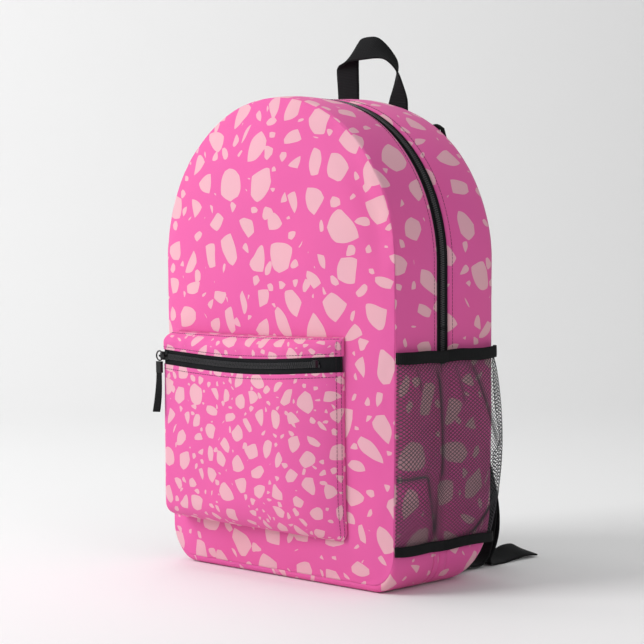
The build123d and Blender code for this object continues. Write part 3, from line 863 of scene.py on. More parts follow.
def pocket_point(x, z, inward=0.0):
    """The pocket's skin over a place on the front."""
    x, z = np.broadcast_arrays(np.asarray(x, float), np.asarray(z, float))
    along = (x - POCKET_X0) / (POCKET_X1 - POCKET_X0)
    rounded = np.clip(POCKET_ROUND - (z - POCKET_Z0), 0, POCKET_ROUND)
    drawn_in = POCKET_ROUND - np.sqrt(POCKET_ROUND ** 2 - rounded ** 2)
    x = x - drawn_in * smooth((along - 0.8) / 0.2)
    across = (x - POCKET_X0) / (POCKET_X1 - POCKET_X0)
    left = rise(x - POCKET_X0, 13.0, 2.8)
    right = rise(POCKET_X1 - x, 62.0, 1.55)
    low_reach = 15.0 + 34.0 * smooth(across)
    low = rise(z - POCKET_Z0, low_reach, 2.2)
    high = rise(POCKET_Z1 - z, 11.0, 2.2)
    amount = left * right * low * high
    puff = 4.0 * np.sin(math.pi * np.clip(across, 0, 1)) * np.sin(
        math.pi * np.clip((z - POCKET_Z0) / 170.0, 0, 1))
    face = POCKET_FACE - 1.2 - puff
    y = front_depth(x, z) * (1 - amount) + face * amount - 0.3
    sag = POCKET_SAG * np.sin(math.pi * np.clip(across, 0, 1)) ** 1.2
    sag = sag * smooth((z - POCKET_Z0) / 110.0) * smooth((POCKET_Z1 + 4 - z) / 16.0)
    hang = (2.0 + 4.0 * across) * (1 - np.clip((z - POCKET_Z0) / 120.0, 0, 1))
    place = np.stack([x, y + inward, z - sag - hang], axis=-1)
    gather = smooth((z - POCKET_TAPE_HIGH + 3) / 8.0)
    place[..., 1] += amount * gather * 0.9 * ripple(place * [1, 0, 0.3], 9.0, 2.2)
    place[..., 1] += amount * 1.2 * ripple(place * [1, 0, 1], 42.0, 5.5)
    return place


def pocket_cloth(name, x0, x1, z0, z1, cols, rows, material, inward=0.0, thickness=FABRIC,
                 inside=1):
    x = np.linspace(x0, x1, cols)
    z = np.linspace(z0, z1, rows)
    x_grid, z_grid = np.meshgrid(x, z)
    pts = pocket_point(x_grid, z_grid, inward)
    across = lengths(pts[rows // 2]) - x1
    up = lengths(pts[:, cols // 2]) + z0
    cloth = np.stack(np.meshgrid(across, up), axis=-1)
    return sheet_object(name, pts, cloth, material, thickness, flip=False, inside=inside)


def pocket_cut(z0, z1):
    """Size of a piece of the pocket's cloth, taken along its middle each way."""
    x = np.linspace(POCKET_X0, POCKET_X1, 200)
    z = np.linspace(z0, z1, 200)
    width = lengths(pocket_point(x, np.full(200, (z0 + z1) / 2)))[-1]
    length = lengths(pocket_point(np.full(200, (POCKET_X0 + POCKET_X1) / 2), z))[-1]
    return width, length


lower = pocket_cloth("pocket_face_cloth", POCKET_X0, POCKET_X1, POCKET_Z0, POCKET_TAPE_LOW,
                     160, 110, [m_small, m_lining])
rides(lower, "bag_body", "printed_fabric_small", "pocket_front_panel", "pocket_gusset")
cut_sheet(lower, "stretched", *pocket_cut(POCKET_Z0, POCKET_TAPE_LOW))
upper = pocket_cloth("pocket_top_cloth", POCKET_X0, POCKET_X1, POCKET_TAPE_HIGH, POCKET_Z1,
                     200, 16, [m_small, m_lining])
rides(upper, "bag_body", "printed_fabric_small", "pocket_top_strip")
cut_sheet(upper, "gathered", *pocket_cut(POCKET_TAPE_HIGH, POCKET_Z1))
tape = pocket_cloth("pocket_tape_cloth", POCKET_X0 + 1, POCKET_X1 - 1, POCKET_TAPE_LOW - 2,
                    POCKET_TAPE_HIGH + 2, 120, 10, m_tape, inward=0.9, thickness=0.6, inside=0)
rides(tape, "bag_body", "zip_tape", "pocket_zip_tape")


def pocket_coil():
    low, high = node_box("pocket_zip_teeth")
    at = np.arange(low[0], high[0], COIL_PITCH)
    rows = []
    for side, shift in ((1, 0.0), (-1, COIL_PITCH / 2)):
        a = pocket_point(at + shift, POCKET_ZIP_Z + side * 0.1, 0.1)
        b = pocket_point(at + shift, POCKET_ZIP_Z + side * 2.8, 0.1)
        rows.append(prisms("coil", a, b, 0.72, m_coil, sides=6))
    return join("pocket_zip_coil", rows)


rides(pocket_coil(), "bag_body", "zip_coil", "pocket_zip_teeth")


def pocket_stitches():
    xs = np.linspace(POCKET_X0 + 3, POCKET_X1 - 3, 120)
    zs = np.linspace(POCKET_Z0 + 4, POCKET_Z1 - 3, 90)
    lines = [pocket_point(xs, np.full(120, z)) for z in
             (POCKET_TAPE_HIGH + 2.6, POCKET_TAPE_LOW - 4.2, POCKET_Z1 - 1.5)]
    lines += [pocket_point(np.full(90, POCKET_X1 - d), zs) for d in (1.4, 4.6)]
    return sewn_rows("stitches_pocket", lines, FORWARDS, m_thread)


rides(pocket_stitches(), "bag_body", "printed_fabric_small")


# ---------------------------------------------------------------- net side pockets
NET_Y0, NET_Y1 = FRONT + 1.5, BACK + 1.0
NET_CUT = (0.156, 0.176)        # flat net between its seams, in metres; a guess
NET_THREAD = 0.40               # thread radius
NET_CELL = (4.9, 3.7)           # one diamond of the flat net

# Folds where the slack net bunches up: the depth and height of each end of the fold, its width,
# and how much it bunches.
NET_FOLDS = (
    ((-20.0, 205.0), (-16.0, 52.0), 4.6, 0.66),
    ((27.0, 206.0), (54.0, 128.0), 5.4, 0.62),
    ((-37.0, 108.0), (-20.0, 50.0), 6.0, 0.70),
    ((6.0, 206.0), (12.0, 172.0), 3.0, 0.55),
    ((-47.0, 206.0), (-44.0, 186.0), 2.6, 0.55),
    ((34.0, 48.0), (60.0, 84.0), 6.5, 0.66),
)
NET_CROSS_FOLD = (108.0, -34.0, 5.0, 0.72)      # height, where it ends, width, how much


def beside_fold(y, z, one_end, other_end):
    """Distance from the line of a fold, and how much of the fold there is at that height."""
    (y0, z0), (y1, z1) = one_end, other_end
    along = (z - z0) / (z1 - z0)
    inside = smooth((along + 0.06) / 0.12) * smooth((1.10 - along) / 0.25)
    return y - (y0 + (y1 - y0) * along), inside


def bunched(y, z):
    """Where the threads of the net lie once its folds have drawn them together."""
    moved_y, moved_z = np.array(y, float), np.array(z, float)
    for one_end, other_end, width, much in NET_FOLDS:
        away, inside = beside_fold(moved_y, z, one_end, other_end)
        moved_y = moved_y - away * much * inside * np.exp(-(away / (2.2 * width)) ** 2)
    height, stop, width, much = NET_CROSS_FOLD
    away = moved_z - height - 0.06 * (moved_y - stop)
    near = smooth((stop + 3 - moved_y) / 8.0) * np.exp(-(away / (2.2 * width)) ** 2)
    return moved_y, moved_z - away * much * near


def fold_height(y, z):
    """How far a fold stands out of the net."""
    out = np.zeros(np.broadcast(y, z).shape)
    for one_end, other_end, width, much in NET_FOLDS:
        away, inside = beside_fold(y, z, one_end, other_end)
        out = out + 2.4 * much * inside * np.exp(-(away / width) ** 2)
    return out


def net_point(y, z):
    """The net over the right side: tight at the band and the hem, slack between them."""
    t = np.clip((y - NET_Y0) / (NET_Y1 - NET_Y0), 0, 1)
    h = np.clip((z - HEM_HIGH) / (BAND_LOW - HEM_HIGH), 0, 1)
    body = HALF - narrowing(z)
    belly = np.sin(math.pi * np.clip(h, 0, 1)) ** 0.75
    ends = rise(t, 0.10, 2.0) * rise(1 - t, 0.05, 2.0)
    slack = 3.6 * h + belly * (4.0 + 8.5 * t)
    ends = np.clip(ends, 0, 1)
    out = 0.5 + ends * (1.2 + slack + wall_bulge(y) + fold_height(y, z) * smooth(belly * 2))
    return np.stack([body + out, y + 2.2 * belly * t ** 4, z], axis=-1)


def net_mesh(side, name):
    """The net, thread by thread: rows of knots, each second row half a cell on."""
    nu = round(NET_CUT[0] / MM / NET_CELL[0])
    nv = 2 * round(NET_CUT[1] / MM / NET_CELL[1])
    cell_y = (NET_Y1 - NET_Y0) / nu
    cell_z = (BAND_LOW + 3 - HEM_HIGH) / nv
    u = np.arange(nu + 1)[None, :] + 0.5 * (np.arange(nv + 1)[:, None] % 2)
    v = np.repeat(np.arange(nv + 1)[:, None], nu + 1, axis=1)
    y = np.clip(NET_Y0 + u * cell_y, NET_Y0, NET_Y1)
    z = HEM_HIGH - 1 + v * cell_z
    y, z = bunched(y, np.broadcast_to(z, y.shape))
    pts = net_point(y, z)
    starts, ends = [], []
    for j in range(nv):
        here, above = pts[j], pts[j + 1]
        if j % 2:
            starts += [here[:-1], here]
            ends += [above[1:], above]
        else:
            starts += [here, here[1:]]
            ends += [above, above[:-1]]
    a, b = np.vstack(starts), np.vstack(ends)
    flip = np.array([side, 1, 1])
    net = prisms("net_cloth_" + name, a * flip, b * flip, NET_THREAD, m_net, sides=3)
    rides(net, "bag_body", "black_net", "mesh_pocket_" + name)
    return net


def band_strip(name, z0, z1, out, side, thick, material, slot, node):
    """Bound edge of the net, from the front seam to the back seam."""
    ys = np.linspace(NET_Y0 + (-0.4 if side > 0 else 4.5), NET_Y1 + 0.4, 70)
    zs = np.linspace(z0, z1, 7)
    rows = []
    for z in zs:
        mid = 1 - ((z - z0) / (z1 - z0) * 2 - 1) ** 4
        p = net_point(ys, np.full(70, np.clip(z, HEM_HIGH, BAND_LOW)))
        p[:, 2] = z + 1.4 * ripple(np.stack([ys, ys * 0, ys * 0 + z0], axis=1), 26.0, 1.0)
        ends = np.clip(np.minimum(ys - ys[0], ys[-1] - ys) / 6.0, 0.0, 1.0)
        p[:, 0] += (out + 0.5 * mid) * ends
        rows.append(p)
    pts = np.array(rows) * [side, 1, 1]
    cloth = np.stack(np.meshgrid(ys, zs), axis=-1)
    obj = sheet_object(name, pts, cloth, material, thick, flip=side > 0)
    return rides(obj, "bag_body", slot, node)


for side, name in ((1, "right"), (-1, "left")):
    net_mesh(side, name)
    band_strip("net_band_" + name, BAND_LOW + 1.5, NET_TOP, 0.9, side, 2.0, m_elastic,
               "black_binding", "mesh_pocket_elastic_" + name)
    band_strip("net_hem_" + name, HEM_LOW, HEM_HIGH + 1, 0.9, side, 2.0, m_elastic,
               "black_binding", "mesh_pocket_hem_" + name)


# ---------------------------------------------------------------- straps of webbing
def band_along(name, route, width, x, material, thick=1.7, steps=90, twist=None, wave=0.0):
    """Webbing along a route of (depth, height), with its width across the bag."""
    line = spline(route, steps)
    run = lengths(line)
    tangent = unit(np.gradient(line, axis=0))
    normal = np.stack([tangent[:, 1], -tangent[:, 0]], axis=1)
    across = np.linspace(-0.5, 0.5, 9)
    angle = np.zeros(steps) if twist is None else np.interp(run / run[-1], *zip(*twist))
    pts = np.zeros((steps, 9, 3))
    for k, a in enumerate(across):
        side = a * width * np.cos(angle)
        lift = a * width * np.sin(angle)
        pts[:, k, 0] = x + side
        pts[:, k, 1:] = line + normal * lift[:, None]
    pts[:, :, 1] += wave * ripple(pts, 30.0, x)
    cloth = np.stack(np.broadcast_arrays(run[:, None], across[None, :] * width), axis=-1)
    return sheet_object(name, pts, cloth, material, thick)


# ---------------------------------------------------------------- padding by simulation
PRESSURE = 4.0
SIM_FRAMES = 20


def puff(obj, cap, hold=None, voxel=5.0):
    """Swells a closed form as its foam does, in a short cloth simulation."""
    remesh = obj.modifiers.new("even", "REMESH")
    remesh.mode = "VOXEL"
    remesh.voxel_size = voxel * MM
    settle(obj)
    start = np.zeros(len(obj.data.vertices) * 3)
    obj.data.vertices.foreach_get("co", start)
    start = start.reshape(-1, 3)
    cloth = obj.modifiers.new("cloth", "CLOTH")
    cloth.settings.use_pressure = True
    cloth.settings.uniform_pressure_force = PRESSURE
    cloth.settings.effector_weights.gravity = 0
    cloth.settings.quality = 4
    scene = bpy.context.scene
    for k in range(1, SIM_FRAMES + 1):
        scene.frame_set(k)
    depsgraph = bpy.context.evaluated_depsgraph_get()
    moved = obj.evaluated_get(depsgraph).data
    end = np.zeros(len(moved.vertices) * 3)
    moved.vertices.foreach_get("co", end)
    step = end.reshape(-1, 3) - start
    long = np.linalg.norm(step, axis=1, keepdims=True)
    step *= np.minimum(1.0, cap * MM / np.maximum(long, 1e-9))
    obj.modifiers.clear()
    scene.frame_set(1)
    place = start + step
    if hold is not None:
        place = hold(start, place)
    obj.data.vertices.foreach_set("co", place.ravel())
    fine = obj.modifiers.new("fine", "SUBSURF")
    fine.levels = 1
    settle(obj)
    obj.data.polygons.foreach_set("use_smooth", [True] * len(obj.data.polygons))
    return obj


def lay_cloth(obj, flat):
    """Gives every point of a finished pad its place on the flat cloth."""
    co = np.zeros(len(obj.data.vertices) * 3)
    obj.data.vertices.foreach_get("co", co)
    place = flat(co.reshape(-1, 3) / MM) * MM
    layer = obj.data.attributes.new("cloth", "FLOAT_VECTOR", "POINT")
    layer.data.foreach_set("vector", np.c_[place, np.zeros(len(place))].astype(np.float32).ravel())


def two_faces(obj, inner, outer):
    """Air mesh on the side towards the back, plain cloth on the other."""
    obj.data.materials.clear()
    obj.data.materials.append(outer)
    obj.data.materials.append(inner)
    obj.data.polygons.foreach_set("material_index",
                                  [int(f.normal.y < -0.2) for f in obj.data.polygons])


def lofted(name, rings, material):
    """A closed form through rings of points."""
    rows, cols = rings.shape[:2]
    verts = rings.reshape(-1, 3)
    faces = grid_faces(rows, cols, closed=True)
    faces.append(list(range(cols))[::-1])
    faces.append([(rows - 1) * cols + c for c in range(cols)])
    return make_object(name, verts, faces, material)


# ---------------------------------------------------------------- the back
BACK_TURNED_IN = 0.994          # the back's edge is turned in at its seam


def back_sheet():
    """The flat back, sewn to the rear gusset all round."""
    edge = outline(BACK)
    centre = np.array([0.0, BACK_MIDDLE_Z])
    rows = []
    for t in np.linspace(0, 1, 26)[1:]:
        xz = centre + (edge - centre) * t * BACK_TURNED_IN
        place = np.stack([xz[:, 0], np.full(len(xz), BACK + 0.2), xz[:, 1]], axis=1)
        place[:, 1] += 0.5 * ripple(place, 40.0, 6.2) * min(1.0, (1 - t) * 8)
        rows.append(place)
    middle = np.array([[0, BACK + 0.2, BACK_MIDDLE_Z]])
    middle[:, 1] += 0.5 * ripple(middle, 40.0, 6.2)
    return hub_sheet("back_cloth", np.array(rows), middle, m_black)


back = rides(back_sheet(), "bag_body", "black_padding", "back_panel")
cut_sheet(back, "stretched", *cut_shape(outline(BACK)))


def edge_tube(name, path, radius, material, closed=True, flatten=1.0, sides=8):
    """A bound edge: a small tube along a path."""
    n = len(path)
    if closed:
        ahead = np.roll(path, -1, axis=0) - np.roll(path, 1, axis=0)
    else:
        ahead = np.gradient(path, axis=0)
    tangent = unit(ahead)
    side = unit(np.cross(tangent, np.array([[0.0, 1.0, 0.0]])))
    up = np.cross(side, tangent)
    pts = np.zeros((n, sides, 3))
    for k in range(sides):
        a = 2 * math.pi * k / sides
        pts[:, k] = path + radius * (math.cos(a) * side + flatten * math.sin(a) * up)
    run = lengths(path)
    turn = np.linspace(0, 2 * math.pi * radius, sides)
    cloth = np.stack(np.broadcast_arrays(run[:, None], turn[None, :]), axis=-1)
    faces = grid_faces(n, sides, closed=True)
    if closed:
        faces += [[(n - 1) * sides + k, (n - 1) * sides + (k + 1) % sides, (k + 1) % sides, k]
                  for k in range(sides)]
    return make_object(name, pts.reshape(-1, 3), faces, material, cloth.reshape(-1, 2))


def back_binding():
    loop = outline(BACK)
    normal = loop_normals(loop)
    path = np.stack([loop[:, 0] - 3.2 * normal[:, 0], np.full(len(loop), BACK + 1.0),
                     loop[:, 1] - 3.2 * normal[:, 1]], axis=1)
    return edge_tube("back_seam_binding", path, 1.5, m_elastic)


rides(back_binding(), "bag_body", "black_binding")

FOAM_LOW, FOAM_HIGH = node_box("back_foam_pads")
COVER_Y = node_box("back_mesh_cover")[1][1]
CHANNEL = 10.0
PAD_AREAS = {
    "back_pad_left": (FOAM_LOW[0], -CHANNEL, 232.0, FOAM_HIGH[2]),
    "back_pad_right": (CHANNEL, FOAM_HIGH[0], 232.0, FOAM_HIGH[2]),
    "back_pad_lower": (FOAM_LOW[0], FOAM_HIGH[0], FOAM_LOW[2], 212.0),
}


def squarish(value, power):
    """A sine or cosine pushed towards a rounded square, with its sign kept."""
    return abs(value) ** power * math.copysign(1, value)


def pad_ring(area, y, inset, power, angles):
    """A rounded rectangle inside an area of the back, or outside it if the inset is negative."""
    x0, x1, z0, z1 = area
    wide, high = (x1 - x0) / 2 - inset, (z1 - z0) / 2 - inset
    return [((x0 + x1) / 2 + wide * squarish(math.cos(a), power), y,
             (z0 + z1) / 2 + high * squarish(math.sin(a), power)) for a in angles]


def back_pad(name, area):
    """One pad of the back: foam under air mesh, crowned between its sewn edges."""
    y0, thick = BACK + 1.2, COVER_Y - BACK - 4.2
    narrowest = min((area[1] - area[0]) / 2, (area[3] - area[2]) / 2)
    angles = np.linspace(0, 2 * math.pi, 72, endpoint=False)
    levels = ((2.0, y0), (0.0, y0 + 0.4 * thick), (1.0, y0 + 0.8 * thick), (7.0, y0 + thick),
              (0.5 * narrowest, y0 + thick + 0.4))
    rings = [pad_ring(area, y, inset, 2 / 7, angles) for inset, y in levels]
    obj = lofted(name, np.array(rings), m_air)

    def hold(_, place):
        place[:, 1] = np.clip(place[:, 1], (BACK + 1.0) * MM, (COVER_Y - 0.3) * MM)
        return place
    puff(obj, 3.0, hold, voxel=4.5)
    lay_cloth(obj, lambda p: p[:, [0, 2]])
    return obj


for k, (name, area) in enumerate(PAD_AREAS.items()):
    pad = back_pad(name, area)
    rides(pad, "bag_body", "air_mesh", *(("back_foam_pads", "back_mesh_cover") if k == 2 else ()))


def pad_stitches():
    """Thread round each pad, on the flat cloth beside it."""
    angles = np.linspace(0, 2 * math.pi, 120)
    rings = [np.array(pad_ring(area, BACK + 0.6, -3, 2 / 8, angles)) for area in PAD_AREAS.values()]
    return sewn_rows("stitches_back", rings, BACKWARDS, m_grey_thread)


rides(pad_stitches(), "bag_body", "black_padding")


# ---------------------------------------------------------------- shoulder straps
# Routes seen from the side, as depth and height, as in the frame.
PAD_ROUTE = [(86.0, 436.0), (88.5, 405.0), (91.0, 340.0), (91.5, 290.0), (91.0, 230.0),
             (91.0, 173.0)]
LOCK_LOW, LOCK_HIGH = node_box("ladder_lock_right")
LOCK_X = (LOCK_LOW[0] + LOCK_HIGH[0]) / 2
WEB_LOW, WEB_HIGH = node_box("lower_webbing_right")
STRAP_X = (WEB_LOW[0] + WEB_HIGH[0]) / 2
WEB_WIDE = WEB_HIGH[0] - WEB_LOW[0]
TABS_HIGH = node_box("strap_top_tabs")[1]
TOP_X = TABS_HIGH[0] - 18.0
TAIL_END = node_box("strap_tail_right")[1][1]
PAD_TOP_WIDE, PAD_LOW_WIDE, PAD_FOAM = 54.0, 40.0, 9.0


def pad_centre(t, side):
    """Middle of a shoulder pad, its width there and the way its width runs."""
    line = spline(PAD_ROUTE, 60)
    y, z = (np.interp(t, np.linspace(0, 1, 60), line[:, i]) for i in (0, 1))
    foot = LOCK_X - 1.0
    x = TOP_X + (foot - TOP_X) * t + 4.0 * np.sin(math.pi * t)
    lean = math.atan2(foot - TOP_X, PAD_ROUTE[0][1] - PAD_ROUTE[-1][1])
    width = PAD_TOP_WIDE + (PAD_LOW_WIDE - PAD_TOP_WIDE) * smooth((t - 0.45) / 0.55)
    return np.array([side * x, y, z]), width, np.array([side * math.cos(lean), 0, math.sin(lean)])


def pad_face(t, u, side, lift):
    """A point on the outer face of a shoulder pad."""
    centre, width, across = pad_centre(t, side)
    crown = (1 - abs(u) ** 3.2) ** 0.5
    return centre + across * u * width / 2 + np.array([0, lift + PAD_FOAM / 2 * crown, 0])


def shoulder_pad(side, name):
    rings = []
    for t in np.linspace(0, 1, 46):
        centre, width, across = pad_centre(t, side)
        end = min(1.0, rise(min(t, 1 - t), 0.03, 2.0) + 0.35)
        ring = []
        for a in np.linspace(0, 2 * math.pi, 40, endpoint=False):
            u, v = squarish(math.cos(a), 0.75), squarish(math.sin(a), 0.8)
            ring.append(centre + across * u * (width / 2 - 2.5)
                        + np.array([0, v * PAD_FOAM / 2 * end, 0]))
        rings.append(ring if side > 0 else ring[::-1])
    obj = lofted("shoulder_pad_cloth_" + name, np.array(rings), m_black)

    def hold(start, place):
        change = place - start
        change[:, [0, 2]] *= 0.4
        return start + change
    puff(obj, 2.0, hold)
    two_faces(obj, m_air, m_black)
    lay_cloth(obj, lambda p: p[:, [0, 2]])
    rides(obj, "strap_" + name, "black_padding", "shoulder_pad_" + name)
    return obj


def pad_edging(side, name):
    """Bound edge round a shoulder pad."""
    path = [pad_centre(t, side) for t in np.linspace(0.034, 0.97, 20)]
    right = [c + a * (w / 2 - 1.2) for c, w, a in path]
    left = [c - a * (w / 2 - 1.2) for c, w, a in path]
    top, low = pad_centre(0.016, side), pad_centre(0.988, side)
    over = [top[0] + top[2] * top[1] * u for u in (-0.36, -0.12, 0.12, 0.36)]
    under = [low[0] + low[2] * low[1] * u for u in (0.36, 0.12, -0.12, -0.36)]
    loop = np.array(right + under + left[::-1] + over)
    fine = spline(closed_loop(loop), 260)[:-1]
    edge = edge_tube("pad_binding_" + name, fine, 1.9, m_elastic, flatten=1.35)
    return rides(edge, "strap_" + name, "black_binding")


def web_point(t, u, side, lift):
    """A point of the webbing on a shoulder pad, where u goes from -1 to 1 across the webbing."""
    return pad_face(t, u * WEB_WIDE / pad_centre(t, side)[1], side, lift)


PAD_LONG = 268.0                # length of the webbing on a shoulder pad


def pad_webbing(side, name):
    """Webbing sewn down the outer face of a shoulder pad."""
    along, across = np.linspace(0.02, 0.985, 90), np.linspace(-1, 1, 7)
    pts = [[web_point(t, u, side, 1.9) for u in across] for t in along]
    cloth = [[(t * PAD_LONG, u * WEB_WIDE / 2) for u in across] for t in along]
    web = sheet_object("pad_webbing_" + name, np.array(pts), np.array(cloth), m_web, 1.3,
                       flip=side < 0)
    rides(web, "strap_" + name, "black_webbing")
    lines = [np.array([web_point(t, u, side, 2.0) for t in along]) for u in (-0.84, 0.84)]
    rides(sewn_rows("stitches_pad_" + name, lines, BACKWARDS, m_grey_thread), "strap_" + name,
          "black_webbing")


def lock_loop(side, name):
    """Short webbing loop that holds the ladder lock to the pad."""
    y0, y1 = LOCK_LOW[1], LOCK_HIGH[1]
    top, slot = LOCK_HIGH[2], LOCK_LOW[2] + 12.5
    mid = (y0 + y1) / 2
    route = [(mid + 1.2, top + 12), (y1 + 0.6, top + 5), (y1 + 1.7, top - 1), (y1 + 0.6, slot + 0.5),
             (mid, slot), (y0 - 0.6, slot + 0.5), (y0 - 1.7, top - 1), (y0 - 0.6, top + 5),
             (mid - 1.2, top + 12)]
    obj = band_along("lock_loop_" + name, route, WEB_WIDE, side * LOCK_X, m_web, 1.1, 70)
    return rides(obj, "strap_" + name, "black_webbing")


def lower_strap(side, name):
    """Webbing from the anchor up through the ladder lock, and its tail down to the floor."""
    y0, y1, z0 = LOCK_LOW[1], LOCK_HIGH[1], LOCK_LOW[2]
    up = [(76.0, 5.6), (88.0, 3.6), (100.0, 4.2), (110.0, 13.0), (118.0, 36.0), (120.5, 60.0),
          (112.0, 92.0), (98.0, 126.0), (88.0, 144.0), (y0 - 1.3, z0 + 1.0),
          (y0 - 0.2, z0 + 4.6), ((y0 + y1) / 2, z0 + 5.0), (y1 + 0.4, z0 + 4.4),
          (y1 + 1.6, z0 + 0.5), (y1 + 1.6, z0 - 8.0)]
    tail = [(y1 + 1.6, z0 - 8.0), (107.0, 118.0), (117.0, 92.0), (125.5, 60.0), (126.0, 34.0),
            (119.0, 15.0), (113.6, 8.0), (114.4, 3.6), (119.5, 2.2), (134.0, 3.2),
            (154.0, 7.2), (171.0, 8.2), (TAIL_END + 7.0, 4.4)]
    web = band_along("lower_strap_cloth_" + name, up, WEB_WIDE, side * STRAP_X, m_web, 1.5, 200)
    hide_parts("lower_webbing_" + name)
    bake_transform(web)
    loose = band_along("strap_tail_cloth_" + name, tail, WEB_WIDE, side * STRAP_X, m_web, 1.5, 130,
                       twist=((0, 0), (0.6, 0), (0.72, 0.06 * side), (0.86, 0.42 * side),
                              (0.94, 0.36 * side), (1, 0.16 * side)))
    return rides(loose, "strap_" + name, "black_webbing", "strap_tail_" + name)


def flat_tab(name, x, steps, thickness):
    """A tab of webbing through steps of depth, height and half its width."""
    across = np.linspace(-1, 1, 9)
    pts = np.array([[(x + u * half, y, z) for u in across] for y, z, half in steps])
    return sheet_object(name, pts, pts[:, :, :2], m_web, thickness)


def anchor_tab(side, name):
    """Cloth tab at the heel that holds the lower end of a strap."""
    steps = ((48.0, 7.2, 17.0), (56.0, 6.4, 16.0), (64.0, 5.6, 14.5), (72.0, 5.2, 13.2),
             (78.0, 5.0, 12.8))
    obj = flat_tab("strap_anchor_cloth_" + name, side * STRAP_X, steps, 2.6)
    return rides(obj, "bag_body", "black_webbing", "strap_anchor_tab_" + name)


def top_tabs():
    """Webbing tabs from the back seam to the top of each pad."""
    steps = ((BACK + 0.4, 430.5, 17.0), (BACK + 4, 432.4, 17.0), (BACK + 8, 432.8, 17.0),
             (TABS_HIGH[1], 431.6, 17.0))
    made = [flat_tab("tab", side * TOP_X, steps, 4.5) for side in (-1, 1)]
    return rides(join("strap_top_webbing", made), "bag_body", "black_webbing", "strap_top_tabs")


for side, name in ((-1, "left"), (1, "right")):
    shoulder_pad(side, name)
    pad_edging(side, name)
    pad_webbing(side, name)
    lock_loop(side, name)
    lower_strap(side, name)
    anchor_tab(side, name)
top_tabs()


# ---------------------------------------------------------------- grab handle
# The two edges of the webbing, which is folded over at the left and twisted at the right.
HANDLE_OUTER = [(-46, 68.6, 437), (-46, 68.8, 450), (-46, 69.0, 463), (-46.5, 68.6, 480),
                (-47, 68.0, 495), (-43, 65.6, 499), (-32, 63.5, 501), (-21, 62.4, 503.5),
                (0, 61.5, 504), (14, 61.5, 504), (24, 62.5, 502.5), (32, 64.0, 497),
                (38, 66.0, 489), (43, 68.0, 477), (48, 69.0, 463), (49, 68.8, 450),
                (49, 68.6, 437)]
HANDLE_INNER = [(-18.5, 68.6, 437), (-18.5, 68.8, 450), (-18, 69.0, 463), (-19, 70.4, 480),
                (-20, 71.6, 500), (-16, 71.0, 521), (-13, 70.0, 524.5), (-8, 69.6, 526),
                (1, 69.4, 526.4), (9, 70.0, 525.4), (15, 72.0, 521), (22, 75.5, 511),
                (29, 76.5, 498), (29, 72.5, 480), (25, 69.4, 463), (22, 68.8, 450),
                (22, 68.6, 437)]


HANDLE_WIDE, HANDLE_STEPS = 27.0, 150
HANDLE_BOXES_X = ((-43.5, -21.0), (24.5, 46.5))     # the sewn boxes at its ends
HANDLE_BOX_Y, HANDLE_BOX_Z = 71.0, (439, 455)


def grab_handle():
    """The folded webbing of the handle, bellied between its two edges."""
    a, b = spline(HANDLE_OUTER, HANDLE_STEPS), spline(HANDLE_INNER, HANDLE_STEPS)
    across = np.linspace(0, 1, 11)
    share = across[None, :, None]
    pts = a[:, None, :] * (1 - share) + b[:, None, :] * share
    along = np.sin(math.pi * np.linspace(0, 1, HANDLE_STEPS))
    pts[:, :, 1] -= 0.9 * np.sin(math.pi * across)[None, :] * along[:, None]
    run = lengths((a + b) / 2)
    cloth = np.stack(np.broadcast_arrays(run[:, None], across[None, :] * HANDLE_WIDE), axis=-1)
    obj = sheet_object("grab_handle_cloth", pts, cloth, m_web, 1.8)
    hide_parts("grab_handle", "handle_anchors")
    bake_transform(obj)
    return obj


def handle_stitches():
    """A crossed box of thread at each end of the handle."""
    z0, z1 = HANDLE_BOX_Z
    lines = []
    for x0, x1 in HANDLE_BOXES_X:
        box = [(x0, z0), (x1, z0), (x1, z1), (x0, z1), (x0, z0), (x1, z1)]
        for line in (box, [(x0, z1), (x1, z0)]):
            lines.append(np.array([(x, HANDLE_BOX_Y, z) for x, z in line], float))
    return sewn_rows("stitches_handle", lines, BACKWARDS, m_grey_thread)


grab_handle()
rides(handle_stitches(), "bag_body", "black_webbing")


# ---------------------------------------------------------------- pulls
def pull_ribbon(name, body, bow=-0.8):
    """Woven ribbon folded through the clip of a zip pull, with a slight curl."""
    low, high = node_box("ribbon_" + name)
    thin = int(np.argmin(high - low))
    wide = [i for i in (0, 1) if i != thin][0]
    rows, cloth = [], []
    for t in np.linspace(0, 1, 36):
        z = high[2] + 1.0 - t * (high[2] - low[2] + 1.0)
        turn = 0.5 * math.sin(2.2 * t) * t
        row = []
        for u in np.linspace(-1, 1, 7):
            p = np.zeros(3)
            half = (high[wide] - low[wide]) / 2 * (1 + 0.12 * t)
            p[wide] = (low[wide] + high[wide]) / 2 + half * u * math.cos(turn)
            p[thin] = (low[thin] + high[thin]) / 2 + half * u * math.sin(turn) + bow * t * t
            p[2] = z
            row.append(p)
        rows.append(row)
        cloth.append([(t * (high[2] - low[2]), u * 3.5) for u in np.linspace(-1, 1, 7)])
    obj = sheet_object("pull_ribbon_" + name, np.array(rows), np.array(cloth), m_web, 1.2)
    return rides(obj, body, "black_ribbon", "ribbon_" + name)


pull_ribbon("upper", "upper_pull")
pull_ribbon("lower", "lower_pull")
pull_ribbon("pocket", "pocket_pull", -4.5)


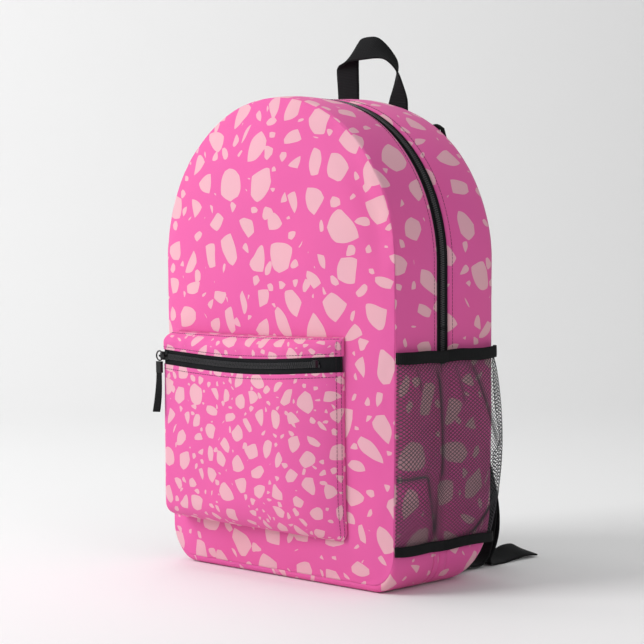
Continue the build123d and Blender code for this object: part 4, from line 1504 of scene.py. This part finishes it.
# ---------------------------------------------------------------- inside
def sleeve():
    """Padded laptop sleeve, open at the top, its sides turned back to the wall."""
    low, high = node_box("laptop_sleeve")
    back, front, half = high[1] - 0.5, low[1], high[0] - 2
    route = [(-half, back), (-half, front + 4), (-half + 4, front),
             (half - 4, front), (half, front + 4), (half, back)]
    flat = []
    for (xa, ya), (xb, yb) in zip(route[:-1], route[1:]):
        n = 30 if abs(xb - xa) > 50 else 4
        flat += [(xa + (xb - xa) * k / n, ya + (yb - ya) * k / n) for k in range(n)]
    flat.append(route[-1])
    flat = np.array(flat)
    zs = np.linspace(low[2] + 6, high[2] + 1, 34)
    run = lengths(flat)
    pts = np.array([[(x, y, z) for x, y in flat] for z in zs])
    pts[:, :, 1] += 0.8 * ripple(pts, 55.0, 4.4) * (np.abs(pts[:, :, 0]) < half - 6)
    cloth = np.stack(np.meshgrid(run, zs), axis=-1)
    obj = sheet_object("laptop_sleeve_cloth", pts, cloth, m_lining, 3.0, flip=False)
    rides(obj, "bag_body", "lining", "laptop_sleeve")
    return cut_sheet(obj, "stretched", run[-1], zs[-1] - zs[0])


def sleeve_edge():
    low, high = node_box("sleeve_binding")
    xs = np.linspace(low[0] + 1, high[0] - 1, 90)
    y, z = (low[1] + high[1]) / 2, (low[2] + high[2]) / 2
    path = np.stack([xs, np.full(90, y) + 0.4 * np.sin(xs / 23), np.full(90, z)], axis=1)
    obj = edge_tube("sleeve_edge_cloth", path, (high[1] - low[1]) / 2 - 0.4, m_elastic,
                    closed=False, sides=10)
    return rides(obj, "bag_body", "black_webbing", "sleeve_binding")


def hook_strap():
    """The strap over the sleeve that holds a laptop in."""
    low, high = node_box("sleeve_closure_strap")
    bend = low[2] + 44.0
    route = [(high[1] - 0.8, high[2]), (high[1] - 0.8, bend + 6), (high[1] - 3, bend + 0.6),
             (low[1] + 4, bend - 0.2), (low[1] + 0.9, bend - 4), (low[1] + 0.9, low[2])]
    obj = band_along("sleeve_strap_cloth", route, high[0] - low[0], 0.0, m_web, 1.2, 90)
    return rides(obj, "bag_body", "black_webbing", "sleeve_closure_strap")


sleeve()
sleeve_edge()
hook_strap()


# ---------------------------------------------------------------- hard parts kept from the frame
METAL = ["main_slider_upper", "main_slider_lower", "pocket_slider", "pocket_zip_stop"]
METAL += [kind + pull for kind in ("ring_", "clip_") for pull in ("upper", "lower", "pocket")]
PLASTIC = ["ladder_lock_left", "ladder_lock_right", "base_board"]
for nodes, material in ((METAL, m_metal), (PLASTIC, m_plastic)):
    for node in nodes:
        part = bpy.data.objects[node]
        part.data.materials.clear()
        part.data.materials.append(material)
